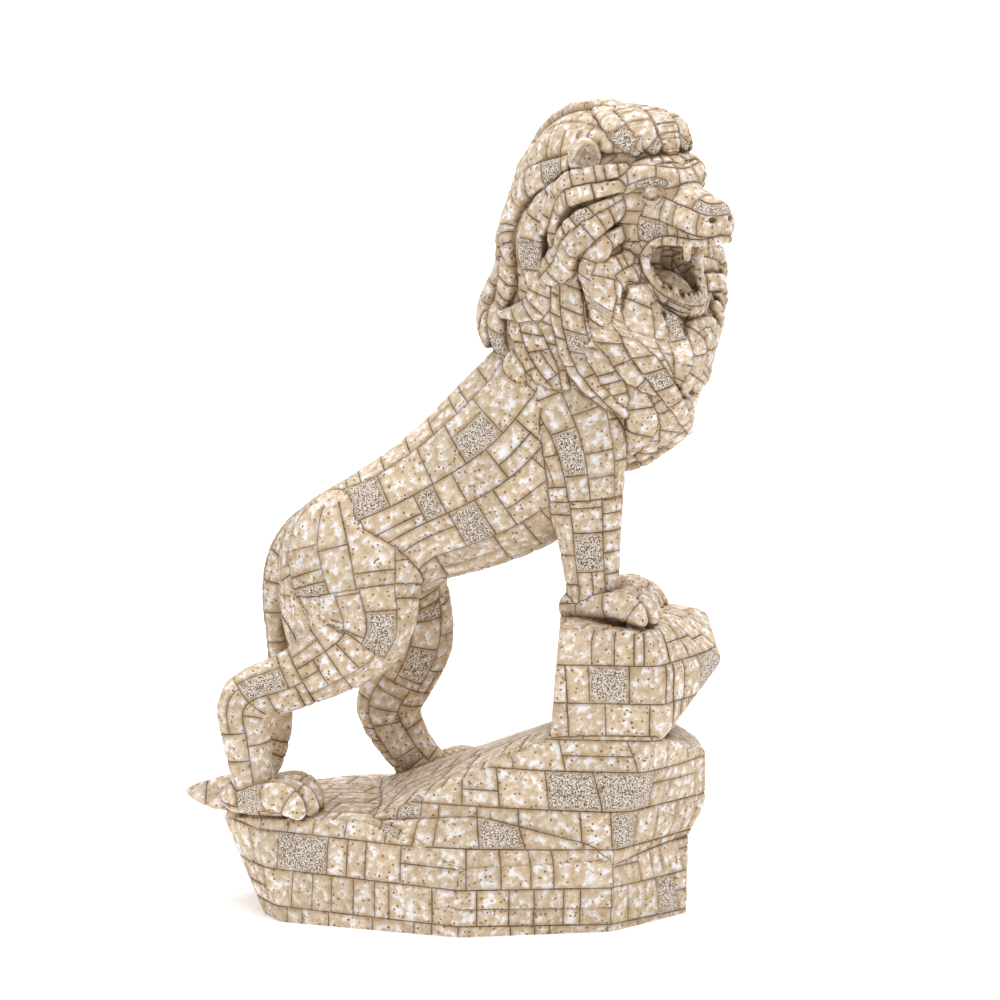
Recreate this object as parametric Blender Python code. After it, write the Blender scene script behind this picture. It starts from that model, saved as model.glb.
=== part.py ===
"""Mosaic lion figurine: a roaring lion on a rocky ledge, cast in one piece in stone resin.

The lion walks along +X and turns its head towards -Y; +Z is up. Shapes are given in millimetres as signed
distances: a form is a function that says how far a point lies outside it. Forms are blended together, and the
surface where the blend is zero is skinned with a mesh and thinned to flat facets.
"""
import math

import bpy
import numpy as np

for thing in list(bpy.data.objects):
    bpy.data.objects.remove(thing)

# ---------------------------------------------------------------- driving dimensions, mm
MM = 0.001
GRID = 2.0                       # spacing of the points where the form is sampled
FACETS = 9600                    # triangles kept in the finished skin
SKIN_BOX = ((-124, -74, -4), (108, 66, 338))
ARRIS = 1.0                      # rounding of the rock's corners
ROCK_GROW = 0.7                  # makes up for what that rounding takes off
HEAD = (74.3, 0.0, 285.0)        # middle of the skull before the head turns
NECK = (46.3, 0.0)               # upright line that the head turns about
HEAD_TURN = math.radians(44)     # how far the lion looks towards the viewer's side
TURN_FROM, TURN_TO = 185.0, 270.0  # heights where the turn starts and is complete
BASE_SINK = 1.4                  # how far the mane's ground lies under its strands
STRAND_SINK = 2.2
PAD = 11.0                       # beyond this a form no longer blends with its neighbour
CENTRE = (-7.9, -4.1, 0.0)       # middle of the footprint, moved to the origin at the end


# ---------------------------------------------------------------- blending and simple forms
def vec(*c):
    return np.array(c, np.float32)


def join(a, b, k):
    """Smaller of two distances, with a fillet about k wide where they meet."""
    h = np.maximum(k - np.abs(a - b), 0.0) / k
    return np.minimum(a, b) - h * h * k * 0.25


def cut(a, b, k):
    """Larger of two distances, with the edge rounded about k wide."""
    return -join(-a, -b, k)


def ellipsoid(p, centre, radii):
    """Distance to an ellipsoid: (s - 1) * s / |gradient|, where s is the point's size in radii."""
    q = p - vec(*centre)
    r = vec(*radii)
    s = np.sqrt(((q / r) ** 2).sum(1)) + 1e-6
    g = np.sqrt(((q / (r * r)) ** 2).sum(1)) + 1e-6
    return s * (s - 1) / g


class Lump:
    """A squarish ball: its offsets in radii, raised to a power, add up to one on its surface. It may be pitched,
    front down, by so many degrees, and its box is that of the unpitched ball with room to spare."""

    def __init__(self, centre, radii, power=2.6, pitch=0.0):
        a = math.radians(pitch)
        self.centre, self.radii, self.power = vec(*centre), vec(*radii), power
        self.axes = np.array([(math.cos(a), 0, -math.sin(a)), (0, 1, 0), (math.sin(a), 0, math.cos(a))], np.float32)

    def distance(self, p):
        q = np.abs((p - self.centre) @ self.axes.T) / self.radii
        s = (q**self.power).sum(1) ** (1 / self.power) + 1e-6
        g = np.sqrt((((q / s[:, None]) ** (self.power - 1) / self.radii) ** 2).sum(1)) + 1e-6
        return (s - 1) / g


def add(d, p, form, lo, hi, k, pad=PAD):
    """Blends a form into d, worked out only in the box where it can matter."""
    near = ((p > np.asarray(lo) - pad) & (p < np.asarray(hi) + pad)).all(1)
    if near.any():
        d[near] = join(d[near], form(p[near]).astype(np.float32), k)
    return d


def through(nodes, steps):
    """A smooth curve through rows of numbers (Catmull-Rom), with this many steps between two rows."""
    nodes = np.asarray(nodes, np.float32)
    rows = np.vstack([2 * nodes[0] - nodes[1], nodes, 2 * nodes[-1] - nodes[-2]])
    t = np.linspace(0, 1, steps, endpoint=False, dtype=np.float32)[:, None]
    out = []
    for a, b, c, d in zip(rows, rows[1:], rows[2:], rows[3:]):
        out.append(0.5 * (2 * b + (c - a) * t + (2 * a - 5 * b + 4 * c - d) * t**2
                          + (3 * b - a - 3 * c + d) * t**3))
    return np.vstack(out + [nodes[-1:]]).astype(np.float32)


class Limb:
    """Flesh along a smooth line. Each node: x, y, z, radius in the limb's plane, radius across it."""

    def __init__(self, nodes, across=(0, 1, 0), steps=3):
        self.rings = through(nodes, steps)
        self.across = vec(*across) / np.linalg.norm(across)
        reach = self.rings[:, 3:5].max()
        self.lo = self.rings[:, :3].min(0) - reach
        self.hi = self.rings[:, :3].max(0) + reach

    def distance(self, p):
        """Least distance to the elliptical cones between neighbouring rings."""
        best = np.full(len(p), 1e9, np.float32)
        for a, b in zip(self.rings, self.rings[1:]):
            line = b[:3] - a[:3]
            t = np.clip(((p - a[:3]) @ line) / (line @ line), 0, 1)
            q = p - a[:3] - t[:, None] * line
            r_in = a[3] + (b[3] - a[3]) * t
            r_out = a[4] + (b[4] - a[4]) * t
            side = q @ self.across
            flat = np.maximum((q * q).sum(1) - side * side, 0)
            s = np.sqrt(flat / r_in**2 + (side / r_out) ** 2) + 1e-6
            g = np.sqrt(flat / r_in**4 + (side / r_out**2) ** 2) + 1e-6
            best = np.minimum(best, s * (s - 1) / g)
        return best


# ---------------------------------------------------------------- rock: five faceted blocks
class Block:
    """A boulder with flat faces: the planes of the hull round its corners, its arrises rounded."""

    def __init__(self, corners):
        corners = np.array(corners, float)
        self.planes = self.hull(corners)
        self.planes[:, 3] += ROCK_GROW
        self.lo, self.hi = corners.min(0) - ROCK_GROW, corners.max(0) + ROCK_GROW

    @staticmethod
    def hull(c):
        """Planes (normal, height) through any three corners that have every other corner behind them."""
        i, j, k = np.array([(i, j, k) for i in range(len(c)) for j in range(i + 1, len(c))
                            for k in range(j + 1, len(c))]).T
        n = np.cross(c[j] - c[i], c[k] - c[i])
        size = np.linalg.norm(n, axis=1)
        n, i = n[size > 1e-6] / size[size > 1e-6, None], i[size > 1e-6]
        h = (n * c[i]).sum(1)
        gap = n @ c.T - h[:, None]
        rows = np.vstack([np.column_stack([n, h])[(gap < 1e-6).all(1)],
                          -np.column_stack([n, h])[(gap > -1e-6).all(1)]])
        kept = []
        for row in rows:
            if not any(row[:3] @ k[:3] > 0.9995 and abs(row[3] - k[3]) < 0.3 for k in kept):
                kept.append(row)
        return np.array(kept, np.float32)

    def distance(self, p):
        d = np.full(len(p), -1e9, np.float32)
        for x, y, z, h in self.planes:
            d = cut(d, p @ vec(x, y, z) - h, ARRIS)
        return d


SLAB = Block([
    (-84, -26, 0), (-77, -40, 0), (-37.5, -50, 0), (-6, -64, 0), (54, -55, 0), (84, -26, 0),
    (84, 34, 0), (46, 56, 0), (-44, 54, 0), (-84, 24, 0),
    (-100.5, -14, 36.5), (-87, -34, 40.5), (-44, -48, 43), (-6, -65, 27), (53, -55, 29), (85, -16, 28),
    (85, 36, 26), (46, 57, 28), (-30, 54, 38), (-97, 22, 39), (-42, -28, 44.5), (-56, 30, 42.5)])
RAMP = Block([
    (-42, -44, 42), (-26, -37, 47), (5, -37, 62.5), (30, -38, 78), (30, -46, 76), (24, -50, 60),
    (2, -44, 58), (2, -50, 44), (-46, 34, 38), (-28, 38, 39.5), (-9, 36, 50), (7, 34, 53),
    (32, 32, 65.5), (60, 36, 66), (60, -44, 60), (-46, -40, 20), (60, -48, 20), (60, 44, 20), (-46, 40, 20)])
BOULDER = Block([
    (24, -50, 60), (30, -46, 77.5), (72, -46, 76), (92, -12, 63), (92, -12, 42), (85, -12, 28),
    (53, -54, 50), (49, -55, 34), (2, -50, 44), (2, -44, 58), (10, -48, 30), (54, -55, 27),
    (90, 26, 60), (84, 34, 26), (38, 40, 62), (40, 52, 28), (62, 38, 76), (31, 10, 70)])
LEDGE = Block([
    (-6, -65, 12), (-6, -65, 27), (2, -50, 45), (49, -54, 35), (53, -55, 29), (54, -55, 10),
    (-42, -47, 42), (-42, -48, 20), (30, -30, 44)])
TOWER = Block([
    (34, -38, 121.5), (34, -47, 120.5), (33, -50, 114.5), (30, -46, 76), (64, -48.5, 114.5),
    (66, -45, 118), (75, -45, 102), (73, -45, 75), (78, 8, 117), (88, 20, 115.5), (93.5, 22, 113),
    (98.5, -6, 99), (97, 16, 97), (90, -20, 91), (79, -22, 76), (80, 22, 76), (33, 26, 74),
    (36, 34, 116), (62, 36, 116.5), (76, 32, 80)])


def rock(p):
    d = np.full(len(p), 1e3, np.float32)
    for block in (SLAB, RAMP, BOULDER, LEDGE, TOWER):
        add(d, p, block.distance, block.lo, block.hi, 1.0)
    return cut(d, -p[:, 2], 0.8)


# ---------------------------------------------------------------- body, legs and tail
TORSO = Limb([(-58, 1, 141, 19, 18), (-48, 0, 144.5, 25, 23), (-21, 0, 158, 28.5, 22.5),
              (1, 0, 169.5, 33.5, 26), (18, 0, 182, 37, 28), (36, 0, 203, 35, 27)])
NEAR_HIND = Limb([(-50, -10, 144, 24, 13), (-47, -18, 128, 25, 13), (-47, -22, 112, 18.5, 12),
                  (-69, -24, 96.5, 12.5, 10), (-90.5, -25, 87, 11, 9.5), (-91, -25.5, 73, 10, 9),
                  (-89, -26, 58, 8.6, 8.6), (-87.5, -27, 50, 9, 10)])
FAR_HIND = Limb([(-36, 10, 140, 22, 13), (-23.5, 17, 120, 13.5, 12.5), (-23.5, 20, 102, 14.5, 11.5),
                 (-30, 22, 86, 13.5, 10.5), (-35.5, 24.5, 74, 13.2, 10), (-29, 27, 58, 10.8, 9.5),
                 (-20, 28, 47, 9.5, 9.5)])
NEAR_FORE = Limb([(33, -12, 210, 24, 13), (41, -19, 190, 19, 13), (44.4, -21, 168, 14.6, 11.8),
                  (45.6, -22, 148, 12.2, 10.8), (47, -23, 131, 10.6, 10), (46.6, -23, 124, 11, 10.5)])
FAR_FORE = Limb([(33, 12, 210, 24, 13), (42, 18, 190, 18, 13), (46.5, 19, 168, 13.5, 11),
                 (47.5, 19, 148, 11.6, 10.5), (48.5, 19, 132, 10, 9.6), (48, 19, 124, 10.4, 10)])
TAIL = Limb([(-60, 2, 156, 8, 8), (-70, 2, 151, 6.6, 6.6), (-77.4, 3, 142, 5.4, 5.4), (-80.6, 5, 130, 5, 5),
             (-80.8, 6, 118, 4.8, 4.8), (-79.6, 7, 104, 4.6, 4.6), (-78.4, 8, 84, 4.6, 4.6),
             (-79, 8, 68, 4.8, 4.8), (-82.5, 6, 55, 4.8, 4.8), (-89, 2, 47, 5.5, 5.5)])
TUFT = Limb([(-86, 2, 46, 5, 5), (-95, 0, 44, 7.4, 7.5), (-104, -1, 43.2, 6.6, 6.5),
             (-112, -1, 43.8, 3.6, 4), (-116.3, -1, 44.3, 0.8, 0.8)])
HAMSTRING = ((-66, -6, 126), (12, 13, 30))


class Paw:
    """Four toes and a heel. at: ankle on the ground; heading: degrees from +X towards the viewer's side."""

    def __init__(self, at, heading, length, width, height):
        a = math.radians(heading)
        forward, side = vec(math.cos(a), -math.sin(a), 0), vec(-math.sin(a), -math.cos(a), 0)

        def node(f, s, u, thick, wide):
            return (*(vec(*at) + length * f * forward + width * s * side + vec(0, 0, height * u)),
                    height * thick, width * wide)
        self.parts = [Limb([node(-0.35, 0, 0.40, 0.45, 0.30), node(0.45, 0, 0.34, 0.36, 0.40)], side)]
        for k, (reach, wide) in enumerate([(0.86, 0.128), (0.98, 0.140), (1.0, 0.140), (0.88, 0.128)]):
            s = (k - 1.5) * 0.245
            self.parts.append(Limb([
                node(-0.1, s * 0.6, 0.42, 0.36, wide), node(reach * 0.5, s * 0.95, 0.62, 0.38, wide),
                node(reach * 0.78, s * 1.02, 0.50, 0.38, wide), node(reach * 0.97, s * 1.04, 0.26, 0.22, wide * 0.75),
            ], side))
        self.lo = np.min([part.lo for part in self.parts], 0)
        self.hi = np.max([part.hi for part in self.parts], 0)

    def distance(self, p):
        d = self.parts[0].distance(p)
        for toe in self.parts[1:]:
            d = join(d, toe.distance(p), 0.9)
        return d


PAWS = [
    Paw((-86, -27, 42), 17, 24, 32, 15),        # near hind
    Paw((-17, 28, 40), 0, 24, 29, 14.5),        # far hind
    Paw((48, -24, 118.5), 14, 24, 30, 14.5),    # near fore
    Paw((52, 20, 115.5), -6, 24, 29, 12),       # far fore
]


def body(p):
    d = np.full(len(p), 60.0, np.float32)
    for limb, fillet in ((TORSO, 0.1), (NEAR_HIND, 9), (FAR_HIND, 9), (NEAR_FORE, 6), (FAR_FORE, 6),
                         (TAIL, 3), (TUFT, 2)):
        add(d, p, limb.distance, limb.lo, limb.hi, fillet)
    middle, radii = vec(*HAMSTRING[0]), vec(*HAMSTRING[1])
    add(d, p, lambda q: ellipsoid(q, *HAMSTRING), middle - radii, middle + radii, 6)
    for paw in PAWS:
        add(d, p, paw.distance, paw.lo, paw.hi, 2)
    return d


# ---------------------------------------------------------------- mane, in a frame that looks straight ahead
def unturned(p):
    """Where a point would be with the head straight: turned back about the neck line, less and less lower down."""
    t = np.clip((p[:, 2] - TURN_FROM) / (TURN_TO - TURN_FROM), 0, 1)
    a = HEAD_TURN * t * t * (3 - 2 * t)
    x, y = p[:, 0] - NECK[0], p[:, 1] - NECK[1]
    return np.stack([NECK[0] + np.cos(a) * x - np.sin(a) * y,
                     NECK[1] + np.sin(a) * x + np.cos(a) * y, p[:, 2]], 1).astype(np.float32)


def halved(q):
    """Both sides of the head are alike: only the -Y side is modelled."""
    return np.stack([q[:, 0], -np.abs(q[:, 1]), q[:, 2]], 1)


# masses under the mane, middle and radii: crown, back of the head, nape, throat, beard, chest, shoulders, back of
# the neck
MANE_MASSES = [((53, 0, 285), (39, 30, 38)), ((46, 0, 268), (37.5, 34.5, 28)), ((41, 0, 250), (34, 31, 42)),
               ((58, 0, 252), (27, 31, 36)),
               ((72, 0, 220), (21, 20, 34)), ((56, 0, 214), (30, 26, 38)), ((40, 0, 218), (32, 29, 28)),
               ((30, 0, 238), (30.4, 28, 26))]
FORELOCK = Lump((73.5, 0, 303.5), (14.5, 20.5, 17), 2.4)
RUFF = Limb([(68, -21, 296, 8.5, 8.5), (70, -26, 282, 8.6, 8.6), (74.4, -27.4, 267, 9, 9),
             (80.6, -24, 252, 9.6, 9.6), (85, -14, 239, 9.8, 9.8), (86, 0, 232, 9.8, 9.8)])
# strands seen from the side: root (x, z), tip (x, z), bow, sway, width, lift
STRANDS = [
    ((84, 318), (8, 252), -44, 0, 15, 0.3),      # crest, forehead to nape
    ((9, 256), (2, 228), -5, 0, 15, 0.2),
    ((84, 310), (14, 258), -22, 0, 12, 0.5),     # over the crown
    ((84, 309), (57, 321), -3, 0, 9, 0.6),       # forelock, swept up and back from the brow
    ((87, 309), (61, 323), -4, -1, 9, 1.0),
    ((89, 309), (64, 324), -5, -1, 9, 0.6),
    ((91, 309), (71, 324), -4, 0, 10, 1.2),
    ((92, 308), (86, 318), -1, 0, 9, 0.6),
    ((14, 262), (3, 229), 0, 1, 12, 0.6),        # down the nape
    ((8, 238), (0, 224), 1, 0, 11, 0.0),         # its tip on the back
    ((57, 301), (32, 261), -13, 2, 12, 1.4),     # from behind the ear
    ((29, 263), (21, 243), 1, 0, 10, 0.8),
    ((20, 243), (16, 223), -2, 0, 9, 0.4),
    ((60, 293), (23, 240), 7, -8, 12, 2.0),      # its tip curls back
    ((81, 300), (53, 274), -7, 0, 8, 3.4),       # cheek ruff, upper bands
    ((81, 294), (58, 268), -8, 1, 8, 3.0),
    ((81, 286), (51, 256), 2, 0, 15, 3.4),       # cheek ruff, hooked tip
    ((82, 276), (66, 242), 2, 1, 10, 0.8),
    ((83, 266), (64, 240), 5, 1, 10, 3.2),
    ((89, 263), (84, 193), -11, -2, 11, 2.2),    # long strand beside the mouth
    ((75, 247), (74, 211), -10, 0, 12, 1.6),
    ((91, 255), (82, 218), -4, 2, 11, 1.8),
    ((62, 260), (61, 203), -10, 2, 16, 1.4),     # broad strand over the shoulder
    ((63, 239), (62, 207), -4, -1, 11, 1.8),
    ((34, 240), (38, 215), -3, 0, 17, 0.8),
    ((52, 258), (41, 214), -3, 1, 10, 0.4),
    ((44, 258), (40, 238), -3, 0, 10, 0.4),
    ((92, 246), (83, 218), -1, 1, 9, 1.0),       # beard
    ((94, 242), (84, 215), 1, 0, 10, 1.4),
    ((97, 242), (85, 211), 2, 0, 10, 1.2),
    ((97, 242), (89, 209), 3, 1, 10, 0.8),
    ((66, 215), (62, 186), 4, 0, 14, 0.5),       # chest
    ((74, 213), (73, 188), 5, 0, 13, 0.8),
    ((71, 202), (66, 182), 2, 0, 12, 0.2),
    ((84, 204), (63, 176), 6, 1, 13, 0.2),
    ((74, 183), (60, 170), 0, 0, 11, 0.0),
]


def mane_ground(q):
    d = np.full(len(q), 60.0, np.float32)
    for middle, radii in MANE_MASSES:
        d = join(d, ellipsoid(q, middle, radii), 6)
    d = join(d, FORELOCK.distance(q), 6)
    return join(d, RUFF.distance(q), 8)


def ground_normal(q, step=0.5):
    g = np.stack([mane_ground(q + step * e) - mane_ground(q - step * e) for e in np.eye(3, dtype=np.float32)], 1)
    return g / np.linalg.norm(g, axis=1, keepdims=True)


def drape(x, z):
    """The point of the mane's ground straight out from x, z on the -Y side, found by halving; points past its
    outline go to the nearest point of it."""
    near, far = np.zeros_like(x), np.full_like(x, 70.0)
    inside = mane_ground(np.stack([x, near, z], 1)) < 0
    for _ in range(22):
        half = 0.5 * (near + far)
        out = mane_ground(np.stack([x, -half, z], 1)) > 0
        far, near = np.where(out, half, far), np.where(out, near, half)
    q = np.stack([x, -near, z], 1)
    for _ in range(4):
        q = np.where(inside[:, None], q, q - mane_ground(q)[:, None] * ground_normal(q)).astype(np.float32)
    return q


class Strand:
    """A lock of hair laid on the mane's ground: a line with a bow (one wave) and a sway (two), squarish across."""

    def __init__(self, root, tip, bow, sway, width, lift, thick=3.6, steps=10, blunt=0.28):
        t = np.linspace(0, 1, steps + 1).astype(np.float32)
        line = vec(*tip) - vec(*root)
        out = vec(-line[1], line[0]) / np.hypot(*line)
        wave = bow * np.sin(np.pi * t) + sway * np.sin(2 * np.pi * t)
        xz = (vec(*root) + t[:, None] * line + wave[:, None] * out).astype(np.float32)
        on = drape(xz[:, 0], xz[:, 1])
        self.normal = ground_normal(on)
        rise = lift * (0.35 + 0.65 * np.minimum(1, 2.5 * t)) - STRAND_SINK
        self.at = (on + self.normal * rise[:, None]).astype(np.float32)
        shape = np.minimum(1, 0.62 + 1.5 * t) * np.sqrt(
            np.maximum(1 - np.maximum(0, (t - 0.45) / 0.55) ** 2.2, blunt**2))
        self.wide = (0.5 * width * shape).astype(np.float32)
        self.thick = (thick * (0.75 + 0.25 * shape)).astype(np.float32)
        reach = max(self.wide.max(), self.thick.max())
        self.lo, self.hi = self.at.min(0) - reach, self.at.max(0) + reach

    def distance(self, p):
        """Offsets across, outwards and past the ends, to the fourth power, add up to one on its surface."""
        best = np.full(len(p), 1e9, np.float32)
        for i in range(len(self.at) - 1):
            line = self.at[i + 1] - self.at[i]
            length = np.linalg.norm(line)
            t = np.clip(((p - self.at[i]) @ line) / length**2, 0, 1)
            q = p - self.at[i] - t[:, None] * line
            along = line / length
            out = self.normal[i] + t[:, None] * (self.normal[i + 1] - self.normal[i])
            out = out - (out @ along)[:, None] * along
            out /= np.linalg.norm(out, axis=1, keepdims=True)
            wide = self.wide[i] + (self.wide[i + 1] - self.wide[i]) * t
            thick = self.thick[i] + (self.thick[i + 1] - self.thick[i]) * t
            end = np.minimum(wide, thick)
            a = np.abs((q * np.cross(along, out)).sum(1)) / wide
            b = np.abs((q * out).sum(1)) / thick
            c = np.abs(q @ along) / end
            s = (a**4 + b**4 + c**4) ** 0.25 + 1e-6
            g = np.sqrt((a**3 / wide) ** 2 + (b**3 / thick) ** 2 + (c**3 / end) ** 2) / s**3 + 1e-6
            best = np.minimum(best, (s - 1) / g)
        return best


LOCKS = [Strand(*row) for row in STRANDS]


def mane(q):
    d = mane_ground(q) + BASE_SINK
    for lock in LOCKS:
        add(d, q, lock.distance, lock.lo, lock.hi, 0.9, 8)
    return d


# ---------------------------------------------------------------- head: forward, outward and up from HEAD
BROW = Limb([(1, 20, 9.4, 2.4, 2.6), (7.4, 19.4, 11.6, 2.8, 3.2), (13, 16.4, 12.8, 3, 3.4), (17, 12.2, 12.6, 3.2, 3.4),
             (20, 6.4, 11.6, 3.2, 3.4), (20.6, 0, 10.8, 3, 3.2)], (0, 0, 1))
JAW = Limb([(-1.5, 14.5, -13, 9, 8), (4.5, 14.5, -24, 9, 7), (10.4, 12.4, -32.6, 7.5, 6), (15.6, 8, -38.6, 5.8, 5.6),
            (17.8, 0, -40, 5.4, 5.6)])
UPPER_LIP = Limb([(15.4, 15.8, -18, 2, 2), (18, 15.2, -14.4, 2.2, 2.4), (23.4, 13, -12.4, 2.4, 2.6),
                  (31.4, 10.2, -12, 2.4, 2.8), (36.6, 7.4, -12, 2.4, 2.8), (38.8, 0, -11.6, 2.4, 2.8)])
LOWER_LIP = Limb([(15.4, 15.8, -18, 2, 2), (14.8, 16, -22.5, 2, 2), (15.6, 14.8, -28.2, 2, 2),
                  (17.8, 12.2, -33, 2.1, 2.1), (20, 8.2, -35.8, 2.2, 2.2), (22, 3.6, -36.9, 2.2, 2.2),
                  (22.4, 0, -37.1, 2.2, 2.2)])
# the face's masses and the fillet that each is blended in with
FACE_MASSES = [(Lump((-3, 0, 4), (20, 21, 18), 2.3), 0.1),              # skull
               (Lump((4.6, 0, 14), (15.4, 17, 7), 2.8), 5),             # forehead
               (Lump((0, 0, -2), (17.6, 22.5, 19), 2.5), 5),            # side of the face
               (Lump((8.5, 9.5, -9), (11.8, 10.2, 12), 2.4), 6),        # cheek
               (Lump((20, 0, -3.2), (14, 12.8, 9.8), 2.6), 6),          # root of the muzzle
               (Lump((27, 0, -0.8), (14, 7.6, 7.9), 2.8, 20), 4),       # bridge of the nose
               (Lump((28, 5.4, -6.6), (12.2, 7.4, 6.2), 2.6), 4),       # whisker pad
               (Lump((35.2, 0, -2.4), (4.6, 8.8, 5.6), 2.6), 3.5)]      # nose
EYE_SOCKET = ((19.3, 16.9, 6.2), (5, 5.2, 3.6))
EYE = ((14.6, 12.5, 6.2), (2.6, 2.6, 2.6))
LIDS = [Limb([(13.5, 15.5, 5.3, 0.6, 0.6), (15.3, 15.2, 7.6, 0.9, 0.9), (16.8, 14.3, 8.5, 1, 1),
              (18.1, 12.7, 8.0, 0.9, 0.9), (18.7, 10.8, 6.2, 0.6, 0.6)]),
        Limb([(13.5, 15.5, 4.8, 0.6, 0.6), (15.1, 15, 3.3, 0.9, 0.9), (16.7, 13.8, 2.8, 1, 1),
              (18.1, 12.1, 3.4, 0.9, 0.9), (18.7, 10.6, 4.8, 0.6, 0.6)])]
EYEBROW = Limb([(8.8, 19.9, 6.8, 1.2, 1.2), (12.4, 18.7, 9.4, 1.5, 1.5), (16.2, 16.2, 11, 1.7, 1.7),
                (19, 13.3, 11.2, 1.6, 1.6), (20.6, 10.9, 10.4, 1.3, 1.3)])
NOSTRIL = ((39.6, 5.0, -3.2), (2.2, 1.9, 1.3))
EAR = ((-6.6, 27.2, 19.4), (6.6, 6.6, 7.8))
EAR_CUP = ((-2.6, 32.0, 19.2), (5.8, 5.8, 6.6))
TONGUE = Limb([(4, 0, -27, 5.5, 7.4), (10, 0, -26, 4.6, 7), (14.6, 0, -28.2, 3.8, 6.2), (17.8, 0, -32, 2.8, 4.6)])
# each tooth: root, tip and radius at the root
TEETH = [((30.6, 8.6, -12.5), (30.2, 8.4, -18.2), 2.1), ((19.2, 8, -35), (19.8, 7.8, -31.2), 1.8),
         ((21.2, 4.2, -36.4), (21.4, 4.2, -34.4), 1.3), ((21.8, 1.4, -36.6), (22, 1.4, -34.6), 1.3),
         ((17.4, 10.6, -33), (17.2, 10.2, -31), 2.0), ((15.6, 12.8, -29), (15.4, 12.2, -27.4), 2.1),
         ((14.4, 13.8, -24.6), (14.2, 13, -23.4), 2.0)]
FANGS = [Limb([(*root, thick, thick), (*tip, 0.6 * thick, 0.6 * thick)]) for root, tip, thick in TEETH]


def face_frame(q):
    h = q - vec(*HEAD)
    return np.stack([h[:, 0], -h[:, 1], h[:, 2]], 1)


def head(q):
    h = face_frame(q)
    d = np.full(len(h), 60.0, np.float32)
    for lump, fillet in FACE_MASSES:
        d = join(d, lump.distance(h), fillet)
    d = join(d, BROW.distance(h), 5)
    d = cut(d, -ellipsoid(h, *EYE_SOCKET), 2)
    d = join(d, JAW.distance(h), 5)
    d = join(d, UPPER_LIP.distance(h), 1.5)
    d = join(d, LOWER_LIP.distance(h), 1.2)
    d = join(d, ellipsoid(h, *EYE), 0.3)
    for roll, fillet in ((EYEBROW, 0.8), (LIDS[0], 0.4), (LIDS[1], 0.4)):
        d = join(d, roll.distance(h), fillet)
    d = cut(d, -ellipsoid(h, *NOSTRIL), 0.8)
    d = join(d, ellipsoid(h, *EAR), 1.5)
    return cut(d, -ellipsoid(h, *EAR_CUP), 1.0)


THROAT = Lump((15, 0, -23.8), (13.5, 11.6, 11.6), 2.8)   # the hollow between tongue and palate


def open_mouth(d, q):
    """Cuts the roaring mouth out of the finished head: everything between the lips, in front of a line that
    drops from the mouth's corner and curves forward to the chin, and a hollow behind it between the cheeks. The
    tongue and the teeth are left in it."""
    h = face_frame(q)
    near = ((h > (-4, -1, -46)) & (h < (50, 22, -6))).all(1)
    h = h[near]
    roof = h[:, 2] + 13.4
    corner = 16.2 + 0.052 * np.maximum(0, -26 - h[:, 2]) ** 2 - h[:, 0]
    gape = cut(roof, 0.75 * corner, 4)
    e = cut(d[near], -join(gape, THROAT.distance(h), 2), 1.2)
    e = join(e, TONGUE.distance(h), 1)
    for fang in FANGS:
        e = join(e, fang.distance(h), 0.6)
    d[near] = e
    return d


def crown(p):
    q = halved(unturned(p))
    return open_mouth(join(mane(q), head(q), 1.2), q)


# ---------------------------------------------------------------- the whole casting
def casting(p):
    d = body(p)
    add(d, p, crown, (-12, -66, 160), (118, 50, 340), 1.5, 4)
    return join(d, rock(p), 1.6)


def sampled(field, spacing):
    """The field at every point of a grid: coarse first, then finely in the band near the surface."""
    lo, hi = vec(*SKIN_BOX[0]), vec(*SKIN_BOX[1])
    coarse = 2 * spacing
    count = np.ceil((hi - lo) / coarse).astype(int) + 1
    axes = [lo[i] + coarse * np.arange(count[i]) for i in range(3)]
    points = np.stack(np.meshgrid(*axes, indexing="ij"), -1).reshape(-1, 3).astype(np.float32)
    values = field(points).reshape(count)
    for axis in range(3):
        v = np.moveaxis(values, axis, 0)
        finer = np.empty((2 * len(v) - 1, *v.shape[1:]), np.float32)
        finer[::2] = v
        finer[1::2] = 0.5 * (v[:-1] + v[1:])
        values = np.moveaxis(finer, 0, axis)
    values = np.ascontiguousarray(values)
    band = np.nonzero(np.abs(values) < coarse)
    values[band] = field((lo + spacing * np.stack(band, 1)).astype(np.float32))
    return values, lo


def mend(values):
    """Fills the few points that would leave the skin touching itself along an edge or at a corner: where four
    neighbours in a square, or eight in a cube, have only opposite corners alike."""
    inside = values < 0
    for _ in range(12):
        before = inside.sum()
        for axis in range(3):
            s = inside.transpose(axis, (axis + 1) % 3, (axis + 2) % 3)
            a, b, c, d = s[:, :-1, :-1], s[:, 1:, 1:], s[:, 1:, :-1], s[:, :-1, 1:]
            c |= a & b & ~c & ~d
            a |= c & d & ~a & ~b
        corner = [inside[i:i - 1 or None, j:j - 1 or None, k:k - 1 or None]
                  for i in (0, 1) for j in (0, 1) for k in (0, 1)]
        count = sum(c.astype(np.int8) for c in corner)
        for first in range(4):
            pair = corner[first] & corner[7 - first] & (count == 2)
            corner[(first + 1) % 4 if first != 3 else 1][pair] = True
            gap = ~corner[first] & ~corner[7 - first] & (count == 6)
            corner[first][gap] = True
        if inside.sum() == before:
            break
    return np.where(inside & (values >= 0), -0.02, values).astype(np.float32)


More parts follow.
